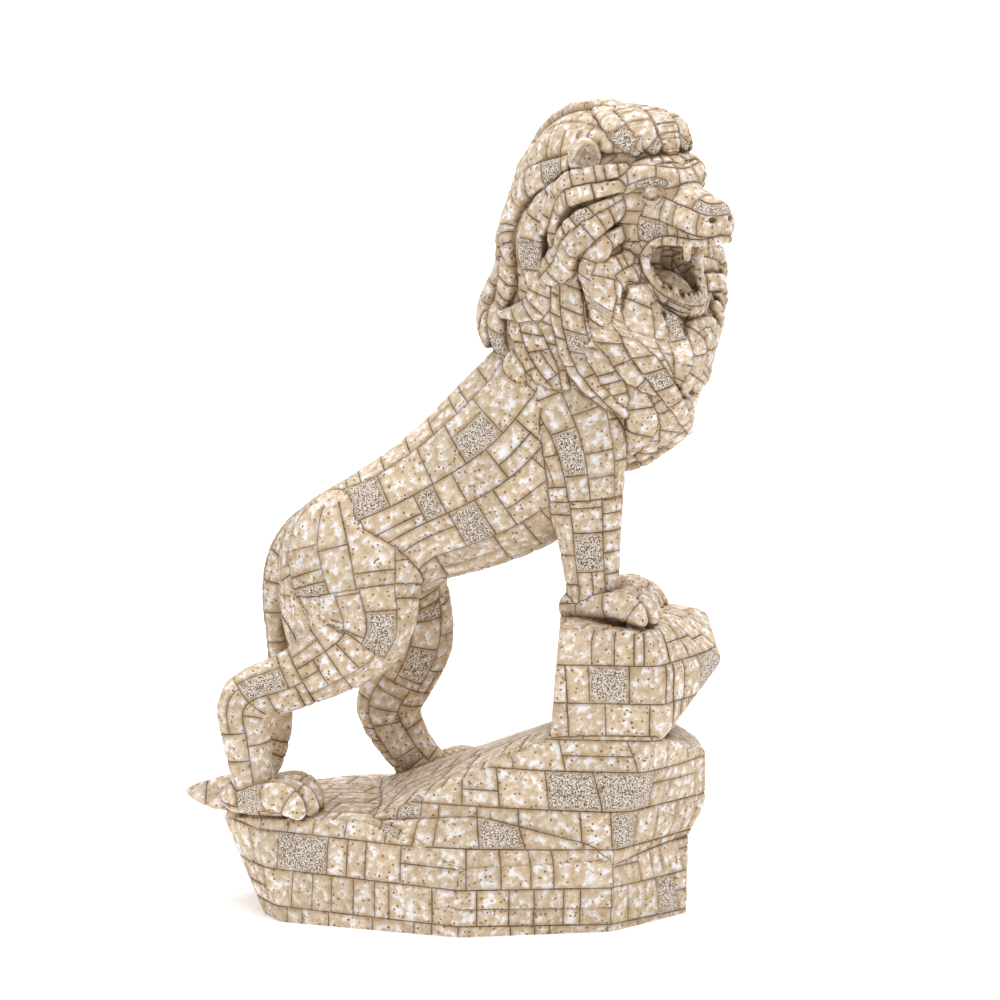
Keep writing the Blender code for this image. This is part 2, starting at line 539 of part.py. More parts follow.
def skin(values, lo, spacing):
    """Surface nets: one vertex in each grid cell that the surface crosses, at the mean of its edge crossings,
    and one quad round each grid edge that it crosses."""
    shape = np.array(values.shape)
    stride = np.array([shape[1] * shape[2], shape[2], 1])
    cells, points, flip = [], [], []
    for axis in range(3):
        order = [axis, (axis + 1) % 3, (axis + 2) % 3]
        v = values.transpose(order)
        at = np.stack(np.nonzero((v[:-1] < 0) != (v[1:] < 0)), 1)
        at = at[((at[:, 1:] > 0) & (at[:, 1:] < np.array(v.shape[1:]) - 1)).all(1)]
        a, b = v[tuple(at.T)], v[at[:, 0] + 1, at[:, 1], at[:, 2]]
        crossing = at.astype(np.float64)
        crossing[:, 0] += a / (a - b)
        back = np.empty_like(crossing)
        back[:, order] = crossing
        points.append(back)
        s = stride[order]
        corner = at @ s
        cells.append(np.stack([corner - s[1] - s[2], corner - s[2], corner, corner - s[1]], 1))
        flip.append(a > b)
    cells, points, flip = np.concatenate(cells), np.concatenate(points), np.concatenate(flip)
    used, quads = np.unique(cells, return_inverse=True)
    quads = quads.reshape(cells.shape)
    count = np.bincount(quads.ravel(), minlength=len(used))
    verts = np.stack([np.bincount(quads.ravel(), np.repeat(points[:, i], 4), len(used)) for i in range(3)], 1)
    quads[flip] = quads[flip][:, ::-1]
    return lo + spacing * verts / count[:, None], quads


def largest(verts, quads):
    """Keeps the one skin with the most vertices: each vertex takes the lowest number that it is joined to."""
    label = np.arange(len(verts))
    while True:
        low = label.copy()
        np.minimum.at(low, quads.ravel(), np.repeat(label[quads].min(1), 4))
        low = low[low]
        if (low == label).all():
            break
        label = low
    kept = label == np.bincount(label).argmax()
    number = np.cumsum(kept) - 1
    return verts[kept], number[quads[kept[quads[:, 0]]]]


def settle(verts, field, rounds=2, step=0.25):
    """Moves vertices on to the surface along the field's slope, and those of the underside on to the floor."""
    v = verts.astype(np.float32)
    for _ in range(rounds):
        d = field(v)
        g = np.stack([field(v + step * e) - field(v - step * e) for e in np.eye(3, dtype=np.float32)], 1) / (2 * step)
        v = v - np.clip(d, -1, 1)[:, None] * g / np.maximum((g * g).sum(1, keepdims=True), 0.3)
    v[:, 2] = np.where(v[:, 2] < 0.35, 0.0, v[:, 2])
    return v


values, corner = sampled(casting, GRID)
verts, quads = largest(*skin(mend(values), corner, GRID))
verts = settle(verts, casting)

mesh = bpy.data.meshes.new("lion_on_rock")
mesh.from_pydata(((verts - vec(*CENTRE)) * MM).tolist(), [], quads.tolist())
lion = bpy.data.objects.new("lion_on_rock", mesh)
bpy.context.scene.collection.objects.link(lion)

thin = lion.modifiers.new("thin", "DECIMATE")
thin.decimate_type = "COLLAPSE"
thin.ratio = FACETS / (2 * len(quads))

stone = bpy.data.materials.new("cast_stone_resin")
stone.use_nodes = True
shader = stone.node_tree.nodes["Principled BSDF"]
shader.inputs["Base Color"].default_value = (0.66, 0.52, 0.36, 1.0)
shader.inputs["Roughness"].default_value = 0.75
shader.inputs["Metallic"].default_value = 0.0
mesh.materials.append(stone)
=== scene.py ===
"""Mosaic lion figurine: the looks of one casting in stone-powder resin, a roaring lion on a rocky ledge.

The lion walks along +X and turns its head towards -Y; +Z is up. Its form is worked out in millimetres as
signed distances and skinned with a mesh, and its mosaic is scored into that mesh.
"""
import math
from collections import namedtuple

import bpy
import numpy as np
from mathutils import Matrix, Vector


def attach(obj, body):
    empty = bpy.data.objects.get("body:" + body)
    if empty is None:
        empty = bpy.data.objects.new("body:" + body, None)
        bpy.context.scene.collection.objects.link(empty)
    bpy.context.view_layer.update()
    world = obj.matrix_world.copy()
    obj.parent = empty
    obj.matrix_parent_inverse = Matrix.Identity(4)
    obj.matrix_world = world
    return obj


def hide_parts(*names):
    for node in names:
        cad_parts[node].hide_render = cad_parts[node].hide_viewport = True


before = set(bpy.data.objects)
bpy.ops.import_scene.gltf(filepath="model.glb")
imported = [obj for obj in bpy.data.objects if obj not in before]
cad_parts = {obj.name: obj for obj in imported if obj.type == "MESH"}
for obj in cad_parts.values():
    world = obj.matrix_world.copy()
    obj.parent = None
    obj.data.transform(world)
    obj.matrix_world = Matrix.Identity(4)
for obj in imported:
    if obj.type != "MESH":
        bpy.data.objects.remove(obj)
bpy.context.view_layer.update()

# ======== the lion on its rock
# One casting in stone-powder resin, 218 x 123 x 325 mm. Its whole surface is scored into blocks 10 to 20 mm
# across, by joints 0.7 mm wide and 0.5 mm deep that hold a brown wash; about one block in twelve is pitted.
MM = 0.001
CENTRE = (-7.9, -4.1, 0.0)       # middle of the footprint, moved to the origin at the end
PAD = 11.0                       # beyond this a form no longer blends with its neighbour
STEPS = 3                        # rings between two nodes of a limb


# ---- blending and simple forms
def vec(*c):
    return np.array(c, np.float32)


def unit(v):
    return v / (np.linalg.norm(v, axis=1, keepdims=True) + 1e-9)


def slope(field, p, step):
    """How a field changes from one step before p to one step after it, along x, y and z."""
    return np.stack([field(p + step * e) - field(p - step * e) for e in np.eye(3, dtype=np.float32)], 1)


def off_line(p, a, b):
    """The way from a to b, how far that is, where along it p lies (0 to 1), and how p is offset from it."""
    length = np.linalg.norm(b - a)
    way = (b - a) / length
    t = np.clip(((p - a) @ way) / length, 0, 1)
    return way, length, t, p - a - (t * length)[:, None] * way


def join(a, b, k):
    """Smaller of two distances, with a fillet about k wide where they meet."""
    h = np.maximum(k - np.abs(a - b), 0.0) / k
    return np.minimum(a, b) - h * h * k * 0.25


def cut(a, b, k):
    """Larger of two distances, with the edge rounded about k wide."""
    return -join(-a, -b, k)


class Lump:
    """An egg, or a squarish one: its offsets in radii, raised to a power, add up to one on its surface. It
    may be pitched, front down, by so many degrees."""

    def __init__(self, centre, radii, power=2, pitch=0.0):
        c, s = math.cos(math.radians(pitch)), math.sin(math.radians(pitch))
        self.centre, self.radii, self.power = vec(*centre), vec(*radii), power
        self.lo, self.hi = self.centre - self.radii, self.centre + self.radii
        self.axes = np.array([(c, 0, -s), (0, 1, 0), (s, 0, c)], np.float32)

    def distance(self, p):
        q = np.abs((p - self.centre) @ self.axes.T) / self.radii
        s = (q**self.power).sum(1) ** (1 / self.power) + 1e-6
        g = np.sqrt((((q / s[:, None]) ** (self.power - 1) / self.radii) ** 2).sum(1)) + 1e-6
        return (s - 1) / g


def blended(p, rows, d=None):
    """The forms of the rows, each joined with its own fillet to those before it, and to d."""
    d = np.full(len(p), 60.0, np.float32) if d is None else d
    for form, fillet in rows:
        d = join(d, form.distance(p), fillet)
    return d


def add(d, p, form, k, pad=PAD):
    """Blends a form into d, worked out only in the box where it can matter."""
    near = ((p > form.lo - pad) & (p < form.hi + pad)).all(1)
    if near.any():
        d[near] = join(d[near], form.distance(p[near]).astype(np.float32), k)


def through(nodes, steps):
    """A smooth curve through rows of numbers (Catmull-Rom), with this many steps between two rows."""
    nodes = np.asarray(nodes, np.float32)
    rows = np.vstack([2 * nodes[0] - nodes[1], nodes, 2 * nodes[-1] - nodes[-2]])
    t = np.linspace(0, 1, steps, endpoint=False, dtype=np.float32)[:, None]
    out = []
    for a, b, c, d in zip(rows, rows[1:], rows[2:], rows[3:]):
        out.append(0.5 * (2 * b + (c - a) * t + (2 * a - 5 * b + 4 * c - d) * t**2
                          + (3 * b - a - 3 * c + d) * t**3))
    return np.vstack(out + [nodes[-1:]]).astype(np.float32)


class Limb:
    """Flesh along a smooth line. Each node: x, y, z, radius in the limb's plane, radius across it."""

    def __init__(self, nodes, across=(0, 1, 0)):
        self.rings = through(nodes, STEPS)
        self.across = vec(*across) / np.linalg.norm(across)
        reach = self.rings[:, 3:5].max()
        self.lo = self.rings[:, :3].min(0) - reach
        self.hi = self.rings[:, :3].max(0) + reach

    def distance(self, p):
        """Least distance to the elliptical cones between neighbouring rings."""
        best = np.full(len(p), 1e9, np.float32)
        for a, b in zip(self.rings, self.rings[1:]):
            _, _, t, q = off_line(p, a[:3], b[:3])
            r_in = a[3] + (b[3] - a[3]) * t
            r_out = a[4] + (b[4] - a[4]) * t
            side = q @ self.across
            flat = np.maximum((q * q).sum(1) - side * side, 0)
            s = np.sqrt(flat / r_in**2 + (side / r_out) ** 2) + 1e-6
            g = np.sqrt(flat / r_in**4 + (side / r_out**2) ** 2) + 1e-6
            best = np.minimum(best, s * (s - 1) / g)
        return best


# ---- rock: five faceted blocks
ARRIS = 1.0                      # rounding of their corners
ROCK_GROW = 0.7                  # makes up for what that rounding takes off


class Block:
    """A boulder with flat faces: the planes of the hull round its corners, its arrises rounded."""

    def __init__(self, corners):
        corners = np.array(corners, float)
        self.planes = self.hull(corners)
        self.planes[:, 3] += ROCK_GROW
        self.lo, self.hi = corners.min(0) - ROCK_GROW, corners.max(0) + ROCK_GROW

    @staticmethod
    def hull(c):
        """Planes (normal, height) through any three corners that have every other corner behind them."""
        i, j, k = np.array([(i, j, k) for i in range(len(c)) for j in range(i + 1, len(c))
                            for k in range(j + 1, len(c))]).T
        n = np.cross(c[j] - c[i], c[k] - c[i])
        size = np.linalg.norm(n, axis=1)
        n, i = n[size > 1e-6] / size[size > 1e-6, None], i[size > 1e-6]
        h = (n * c[i]).sum(1)
        gap = n @ c.T - h[:, None]
        rows = np.vstack([np.column_stack([n, h])[(gap < 1e-6).all(1)],
                          -np.column_stack([n, h])[(gap > -1e-6).all(1)]])
        kept = []
        for row in rows:
            if not any(row[:3] @ k[:3] > 0.9995 and abs(row[3] - k[3]) < 0.3 for k in kept):
                kept.append(row)
        return np.array(kept, np.float32)

    def distance(self, p):
        d = np.full(len(p), -1e9, np.float32)
        for x, y, z, h in self.planes:
            d = cut(d, p @ vec(x, y, z) - h, ARRIS)
        return d


SLAB = Block([
    (-84, -26, 0), (-77, -40, 0), (-37.5, -50, 0), (-6, -64, 0), (54, -55, 0), (84, -26, 0),
    (84, 34, 0), (46, 56, 0), (-44, 54, 0), (-84, 24, 0),
    (-100.5, -14, 36.5), (-87, -34, 40.5), (-44, -48, 43), (-6, -65, 27), (53, -55, 29), (85, -16, 28),
    (85, 36, 26), (46, 57, 28), (-30, 54, 38), (-97, 22, 39), (-42, -28, 44.5), (-56, 30, 42.5)])
RAMP = Block([
    (-42, -44, 42), (-26, -37, 47), (5, -37, 62.5), (30, -38, 78), (30, -46, 76), (24, -50, 60),
    (2, -44, 58), (2, -50, 44), (-46, 34, 38), (-28, 38, 39.5), (-9, 36, 50), (7, 34, 53),
    (32, 32, 65.5), (60, 36, 66), (60, -44, 60), (-46, -40, 20), (60, -48, 20), (60, 44, 20), (-46, 40, 20)])
BOULDER = Block([
    (24, -50, 60), (30, -46, 77.5), (72, -46, 76), (92, -12, 63), (92, -12, 42), (85, -12, 28),
    (53, -54, 50), (49, -55, 34), (2, -50, 44), (2, -44, 58), (10, -48, 30), (54, -55, 27),
    (90, 26, 60), (84, 34, 26), (38, 40, 62), (40, 52, 28), (62, 38, 76), (31, 10, 70)])
LEDGE = Block([
    (-6, -65, 12), (-6, -65, 27), (2, -50, 45), (49, -54, 35), (53, -55, 29), (54, -55, 10),
    (-42, -47, 42), (-42, -48, 20), (30, -30, 44)])
TOWER = Block([
    (34, -38, 121.5), (34, -47, 120.5), (33, -50, 114.5), (30, -46, 76), (64, -48.5, 114.5),
    (66, -45, 118), (75, -45, 102), (73, -45, 75), (78, 8, 117), (88, 20, 115.5), (93.5, 22, 113),
    (98.5, -6, 99), (97, 16, 97), (90, -20, 91), (79, -22, 76), (80, 22, 76), (33, 26, 74),
    (36, 34, 116), (62, 36, 116.5), (76, 32, 80)])


def rock(p):
    d = np.full(len(p), 1e3, np.float32)
    for block in (SLAB, RAMP, BOULDER, LEDGE, TOWER):
        add(d, p, block, 1.0)
    return cut(d, -p[:, 2], 0.8)


# ---- body, legs and tail
TORSO = Limb([(-58, 1, 141, 19, 18), (-48, 0, 144.5, 25, 23), (-21, 0, 158, 28.5, 22.5),
              (1, 0, 169.5, 33.5, 26), (18, 0, 182, 37, 28), (36, 0, 203, 35, 27)])
NEAR_HIND = Limb([(-50, -10, 144, 24, 13), (-47, -18, 128, 25, 13), (-47, -22, 112, 18.5, 12),
                  (-69, -24, 96.5, 12.5, 10), (-90.5, -25, 87, 11, 9.5), (-91, -25.5, 73, 10, 9),
                  (-89, -26, 58, 8.6, 8.6), (-87.5, -27, 50, 9, 10)])
FAR_HIND = Limb([(-36, 10, 140, 22, 13), (-23.5, 17, 120, 13.5, 12.5), (-23.5, 20, 102, 14.5, 11.5),
                 (-30, 22, 86, 13.5, 10.5), (-35.5, 24.5, 74, 13.2, 10), (-29, 27, 58, 10.8, 9.5),
                 (-20, 28, 47, 9.5, 9.5)])
NEAR_FORE = Limb([(33, -12, 210, 24, 13), (41, -19, 190, 19, 13), (44.4, -21, 168, 14.6, 11.8),
                  (45.6, -22, 148, 12.2, 10.8), (47, -23, 131, 10.6, 10), (46.6, -23, 124, 11, 10.5)])
FAR_FORE = Limb([(33, 12, 210, 24, 13), (42, 18, 190, 18, 13), (46.5, 19, 168, 13.5, 11),
                 (47.5, 19, 148, 11.6, 10.5), (48.5, 19, 132, 10, 9.6), (48, 19, 124, 10.4, 10)])
TAIL = Limb([(-60, 2, 156, 8, 8), (-70, 2, 151, 6.6, 6.6), (-77.4, 3, 142, 5.4, 5.4), (-80.6, 5, 130, 5, 5),
             (-80.8, 6, 118, 4.8, 4.8), (-79.6, 7, 104, 4.6, 4.6), (-78.4, 8, 84, 4.6, 4.6),
             (-79, 8, 68, 4.8, 4.8), (-82.5, 6, 55, 4.8, 4.8), (-89, 2, 47, 5.5, 5.5)])
TUFT = Limb([(-86, 2, 46, 5, 5), (-95, 0, 44, 7.4, 7.5), (-104, -1, 43.2, 6.6, 6.5),
             (-112, -1, 43.8, 3.6, 4), (-116.3, -1, 44.3, 0.8, 0.8)])
HAMSTRING = Lump((-66, -6, 126), (12, 13, 30))


class Paw:
    """Four toes and a heel. at: ankle on the ground; heading: degrees from +X towards -Y."""

    def __init__(self, at, heading, length, width, height):
        a = math.radians(heading)
        forward, side = vec(math.cos(a), -math.sin(a), 0), vec(-math.sin(a), -math.cos(a), 0)

        def node(f, s, u, thick, wide):
            return (*(vec(*at) + length * f * forward + width * s * side + vec(0, 0, height * u)),
                    height * thick, width * wide)
        self.parts = [Limb([node(-0.35, 0, 0.40, 0.45, 0.30), node(0.45, 0, 0.34, 0.36, 0.40)], side)]
        for k, (reach, wide) in enumerate([(0.86, 0.128), (0.98, 0.140), (1.0, 0.140), (0.88, 0.128)]):
            s = (k - 1.5) * 0.245
            self.parts.append(Limb([
                node(-0.1, s * 0.6, 0.42, 0.36, wide), node(reach * 0.5, s * 0.95, 0.62, 0.38, wide),
                node(reach * 0.78, s * 1.02, 0.50, 0.38, wide),
                node(reach * 0.97, s * 1.04, 0.26, 0.22, wide * 0.75)], side))
        self.lo = np.min([part.lo for part in self.parts], 0)
        self.hi = np.max([part.hi for part in self.parts], 0)

    def distance(self, p):
        return blended(p, [(part, 0.9) for part in self.parts])


PAWS = [
    Paw((-86, -27, 42), 17, 24, 32, 15),        # near hind
    Paw((-17, 28, 40), 0, 24, 29, 14.5),        # far hind
    Paw((48, -24, 118.5), 14, 24, 30, 14.5),    # near fore
    Paw((52, 20, 115.5), -6, 24, 29, 12),       # far fore
]


def body(p):
    d = np.full(len(p), 60.0, np.float32)
    for form, fillet in ((TORSO, 0.1), (NEAR_HIND, 9), (FAR_HIND, 9), (NEAR_FORE, 6), (FAR_FORE, 6),
                         (TAIL, 3), (TUFT, 2), (HAMSTRING, 6), *((paw, 2) for paw in PAWS)):
        add(d, p, form, fillet)
    return d


# ---- mane, in a frame that looks straight ahead
NECK = (46.3, 0.0)               # upright line that the head turns about
HEAD_TURN = math.radians(44)     # how far the lion looks towards its right, which is -Y
TURN_FROM, TURN_TO = 185.0, 270.0  # heights where the turn starts and is complete


def unturned(p):
    """Where a point would be with the head straight: turned back about the neck line, less lower down."""
    t = np.clip((p[:, 2] - TURN_FROM) / (TURN_TO - TURN_FROM), 0, 1)
    a = HEAD_TURN * t * t * (3 - 2 * t)
    x, y = p[:, 0] - NECK[0], p[:, 1] - NECK[1]
    return np.stack([NECK[0] + np.cos(a) * x - np.sin(a) * y,
                     NECK[1] + np.sin(a) * x + np.cos(a) * y, p[:, 2]], 1).astype(np.float32)


def halved(q):
    """Both sides of the head are alike: only the -Y side is modelled."""
    return np.stack([q[:, 0], -np.abs(q[:, 1]), q[:, 2]], 1)


# masses under the mane, middle and radii: crown, back of the head, nape, throat; beard, chest, shoulders,
# back of the neck
MANE_MASSES = [(Lump(*egg), 6) for egg in (
    ((53, 0, 285), (39, 30, 38)), ((46, 0, 268), (37.5, 34.5, 28)), ((41, 0, 250), (34, 31, 42)),
    ((58, 0, 252), (27, 31, 36)), ((72, 0, 220), (21, 20, 34)), ((56, 0, 214), (30, 26, 38)),
    ((40, 0, 218), (32, 29, 28)), ((30, 0, 238), (30.4, 28, 26)))]
BASE_SINK = 1.4                  # how far the mane's ground lies under its strands
STRAND_SINK = 2.2                # how deep a strand's middle line lies in it
FORELOCK = Lump((73.5, 0, 303.5), (14.5, 20.5, 17), 2.4)
RUFF = Limb([(68, -21, 296, 8.5, 8.5), (70, -26, 282, 8.6, 8.6), (74.4, -27.4, 267, 9, 9),
             (80.6, -24, 252, 9.6, 9.6), (85, -14, 239, 9.8, 9.8), (86, 0, 232, 9.8, 9.8)])
# strands seen from the side: root (x, z), tip (x, z), bow, sway, width, lift
STRANDS = [
    ((84, 318), (8, 252), -44, 0, 15, 0.3),      # crest, forehead to nape
    ((9, 256), (2, 228), -5, 0, 15, 0.2),
    ((84, 310), (14, 258), -22, 0, 12, 0.5),     # over the crown
    ((84, 309), (57, 321), -3, 0, 12, 0.3),      # forelock, swept up and back from the brow
    ((87, 309), (61, 323), -4, -1, 12, 0.6),
    ((89, 309), (64, 324), -5, -1, 12, 0.3),
    ((91, 309), (71, 324), -4, 0, 12, 0.8),
    ((92, 308), (86, 318), -1, 0, 11, 0.4),
    ((14, 262), (3, 229), 0, 1, 12, 0.6),        # down the nape
    ((8, 238), (0, 224), 1, 0, 11, 0.0),         # its tip on the back
    ((57, 301), (32, 261), -13, 2, 12, 1.4),     # from behind the ear
    ((29, 263), (21, 243), 1, 0, 10, 0.8),
    ((20, 243), (16, 223), -2, 0, 9, 0.4),
    ((60, 293), (23, 240), 7, -8, 12, 2.0),      # its tip curls back
    ((81, 300), (53, 274), -7, 0, 8, 3.4),       # cheek ruff, upper bands
    ((81, 294), (58, 268), -8, 1, 8, 3.0),
    ((81, 286), (51, 256), 2, 0, 15, 3.4),       # cheek ruff, hooked tip
    ((82, 276), (66, 242), 2, 1, 10, 0.8),
    ((83, 266), (64, 240), 5, 1, 10, 3.2),
    ((89, 263), (84, 193), -11, -2, 11, 2.2),    # long strand beside the mouth
    ((75, 247), (74, 211), -10, 0, 12, 1.6),
    ((91, 255), (82, 218), -4, 2, 11, 1.8),
    ((62, 260), (61, 203), -10, 2, 16, 1.4),     # broad strand over the shoulder
    ((63, 239), (62, 207), -4, -1, 11, 1.8),
    ((34, 240), (38, 215), -3, 0, 17, 0.8),
    ((52, 258), (41, 214), -3, 1, 10, 0.4),
    ((44, 258), (40, 238), -3, 0, 10, 0.4),
    ((92, 246), (83, 218), -1, 1, 9, 1.0),       # beard
    ((94, 242), (84, 215), 1, 0, 10, 1.4),
    ((97, 242), (85, 211), 2, 0, 10, 1.2),
    ((97, 242), (89, 209), 3, 1, 10, 0.8),
    ((66, 215), (62, 186), 4, 0, 14, 0.5),       # chest
    ((74, 213), (73, 188), 5, 0, 13, 0.8),
    ((71, 202), (66, 182), 2, 0, 12, 0.2),
    ((84, 204), (63, 176), 6, 1, 13, 0.2),
    ((74, 183), (60, 170), 0, 0, 11, 0.0),
]


def mane_ground(q):
    return blended(q, MANE_MASSES + [(FORELOCK, 6), (RUFF, 8)])


HALF_WIDTH = 70.0                # more than any of the ground's


def drape(x, z):
    """The point of the mane's ground straight out from x, z on the -Y side, found by halving; points past its
    outline go to the nearest point of it."""
    near, far = np.zeros_like(x), np.full_like(x, HALF_WIDTH)
    inside = mane_ground(np.stack([x, near, z], 1)) < 0
    for _ in range(22):
        half = 0.5 * (near + far)
        out = mane_ground(np.stack([x, -half, z], 1)) > 0
        far, near = np.where(out, half, far), np.where(out, near, half)
    q = np.stack([x, -near, z], 1)
    for _ in range(4):
        moved = q - mane_ground(q)[:, None] * unit(slope(mane_ground, q, 0.5))
        q = np.where(inside[:, None], q, moved).astype(np.float32)
    return q


class Strand:
    """A lock of hair laid on the mane's ground: a line with a bow (half a wave) and a sway (a whole one),
    squarish across, fullest at 45% of its length and blunt at the tip."""

    def __init__(self, root, tip, bow, sway, width, lift, thick=3.6, full=0.45, blunt=0.28):
        t = np.linspace(0, 1, 11).astype(np.float32)
        line = vec(*tip) - vec(*root)
        out = vec(-line[1], line[0]) / np.hypot(*line)
        wave = bow * np.sin(np.pi * t) + sway * np.sin(2 * np.pi * t)
        xz = (vec(*root) + t[:, None] * line + wave[:, None] * out).astype(np.float32)
        on = drape(xz[:, 0], xz[:, 1])
        self.normal = unit(slope(mane_ground, on, 0.5))
        rise = lift * (0.35 + 0.65 * np.minimum(1, 2.5 * t)) - STRAND_SINK
        self.at = (on + self.normal * rise[:, None]).astype(np.float32)
        shape = np.minimum(1, 0.62 + 1.5 * t) * np.sqrt(
            np.maximum(1 - np.maximum(0, (t - full) / (1 - full)) ** 2.2, blunt**2))
        self.wide = (0.5 * width * shape).astype(np.float32)
        self.thick = (thick * (0.75 + 0.25 * shape)).astype(np.float32)
        reach = max(self.wide.max(), self.thick.max())
        self.lo, self.hi = self.at.min(0) - reach, self.at.max(0) + reach

    def distance(self, p):
        """Offsets across, outwards and past the ends, to the fourth power, add up to one on its surface."""
        best = np.full(len(p), 1e9, np.float32)
        for i in range(len(self.at) - 1):
            along, _, t, q = off_line(p, self.at[i], self.at[i + 1])
            out = self.normal[i] + t[:, None] * (self.normal[i + 1] - self.normal[i])
            out = unit(out - (out @ along)[:, None] * along)
            wide = self.wide[i] + (self.wide[i + 1] - self.wide[i]) * t
            thick = self.thick[i] + (self.thick[i + 1] - self.thick[i]) * t
            end = np.minimum(wide, thick)
            a = np.abs((q * np.cross(along, out)).sum(1)) / wide
            b = np.abs((q * out).sum(1)) / thick
            c = np.abs(q @ along) / end
            s = (a**4 + b**4 + c**4) ** 0.25 + 1e-6
            g = np.sqrt((a**3 / wide) ** 2 + (b**3 / thick) ** 2 + (c**3 / end) ** 2) / s**3 + 1e-6
            best = np.minimum(best, (s - 1) / g)
        return best


LOCKS = [Strand(*row) for row in STRANDS]


def mane(q):
    d = mane_ground(q) + BASE_SINK
    for lock in LOCKS:
        add(d, q, lock, 0.9, 8)
    return d


# ---- head: forward, outward and up from HEAD
HEAD = (74.3, 0.0, 285.0)        # middle of the skull before the head turns
BROW = Limb([(1, 20, 9.4, 2.4, 2.6), (7.4, 19.4, 11.6, 2.8, 3.2), (13, 16.4, 12.8, 3, 3.4),
             (17, 12.2, 12.6, 3.2, 3.4), (20, 6.4, 11.6, 3.2, 3.4), (20.6, 0, 10.8, 3, 3.2)], (0, 0, 1))
JAW = Limb([(-1.5, 14.5, -13, 9, 8), (4.5, 14.5, -24, 9, 7), (10.4, 12.4, -32.6, 7.5, 6),
            (15.6, 8, -38.6, 5.8, 5.6), (17.8, 0, -40, 5.4, 5.6)])
UPPER_LIP = Limb([(15.4, 15.8, -18, 2, 2), (18, 15.2, -14.4, 2.2, 2.4), (23.4, 13, -12.4, 2.4, 2.6),
                  (31.4, 10.2, -12, 2.4, 2.8), (36.6, 7.4, -12, 2.4, 2.8), (38.8, 0, -11.6, 2.4, 2.8)])
LOWER_LIP = Limb([(15.4, 15.8, -18, 2, 2), (14.8, 16, -22.5, 2, 2), (15.6, 14.8, -28.2, 2, 2),
                  (17.8, 12.2, -33, 2.1, 2.1), (20, 8.2, -35.8, 2.2, 2.2), (22, 3.6, -36.9, 2.2, 2.2),
                  (22.4, 0, -37.1, 2.2, 2.2)])
# the face's masses and the fillet that each is blended in with
FACE_MASSES = [(Lump((-3, 0, 4), (20, 21, 18), 2.3), 0.1),              # skull
               (Lump((4.6, 0, 14), (15.4, 17, 7), 2.8), 5),             # forehead
               (Lump((0, 0, -2), (17.6, 22.5, 19), 2.5), 5),            # side of the face
               (Lump((8.5, 9.5, -9), (11.8, 10.2, 12), 2.4), 6),        # cheek
               (Lump((20, 0, -3.2), (14, 12.8, 9.8), 2.6), 6),          # root of the muzzle
               (Lump((27, 0, -0.8), (14, 7.6, 7.9), 2.8, 20), 4),       # bridge of the nose
               (Lump((28, 5.4, -6.6), (12.2, 7.4, 6.2), 2.6), 4),       # whisker pad
               (Lump((35.2, 0, -2.4), (4.6, 8.8, 5.6), 2.6), 3.5)]      # nose
EYE_SOCKET = Lump((19.3, 16.9, 6.2), (5, 5.2, 3.6))
EYE = Lump((15.4, 12.4, 6), (3.1, 3.1, 3))
LIDS = [Limb([(13.5, 15.5, 5.3, 0.6, 0.6), (15.3, 15.2, 7.6, 0.9, 0.9), (16.8, 14.3, 8.5, 1, 1),
              (18.1, 12.7, 8.0, 0.9, 0.9), (18.7, 10.8, 6.2, 0.6, 0.6)]),
        Limb([(13.8, 16.1, 4.9, 0.6, 0.6), (15.8, 15.8, 3.1, 0.9, 0.9), (17.5, 14.8, 2.4, 1.1, 1.1),
              (18.9, 13.1, 3.1, 0.9, 0.9), (19.2, 11.1, 4.8, 0.6, 0.6)])]
EYEBROW = Limb([(8.8, 19.9, 6.8, 1.2, 1.2), (12.4, 18.7, 9.4, 1.5, 1.5), (16.2, 16.2, 11, 1.7, 1.7),
                (19, 13.3, 11.2, 1.6, 1.6), (20.6, 10.9, 10.4, 1.3, 1.3)])
NOSTRIL = Lump((40.3, 5.0, -3.2), (2.0, 1.8, 1.1))
EAR = Lump((-6.6, 27.2, 19.4), (6.6, 6.6, 7.8))
EAR_CUP = Lump((-1.4, 30.2, 19.4), (5.3, 5.3, 5.7))
TONGUE = Limb([(4, 0, -30, 4.5, 7), (10, 0, -30, 3.8, 6.6), (14.6, 0, -31.8, 3.2, 6),
               (17.8, 0, -34, 2.4, 4.6)])
# each tooth: root, tip and radius at the root
TEETH = [((30.6, 8.6, -12.5), (30.2, 8.4, -18.2), 2.1), ((19.2, 8, -35), (19.8, 7.8, -31.2), 1.8),
         ((21.2, 4.2, -36.4), (21.4, 4.2, -34.4), 1.3), ((21.8, 1.4, -36.6), (22, 1.4, -34.6), 1.3),
         ((17.4, 10.6, -33), (17.2, 10.2, -31), 2.0), ((15.6, 12.8, -29), (15.4, 12.2, -27.4), 2.1),
         ((14.4, 13.8, -24.6), (14.2, 13, -23.4), 2.0)]
FANGS = [Limb([(*root, thick, thick), (*tip, 0.6 * thick, 0.6 * thick)]) for root, tip, thick in TEETH]


def face_frame(q):
    h = q - vec(*HEAD)
    return np.stack([h[:, 0], -h[:, 1], h[:, 2]], 1)


def head(q):
    h = face_frame(q)
    d = cut(blended(h, FACE_MASSES + [(BROW, 5)]), -EYE_SOCKET.distance(h), 2)
    d = blended(h, ((JAW, 5), (UPPER_LIP, 1.5), (LOWER_LIP, 1.2), (EYE, 0.3), (EYEBROW, 0.8),
                    (LIDS[0], 0.4), (LIDS[1], 0.4)), d)
    d = join(cut(d, -NOSTRIL.distance(h), 0.8), EAR.distance(h), 1.5)
    return cut(d, -EAR_CUP.distance(h), 1.0)


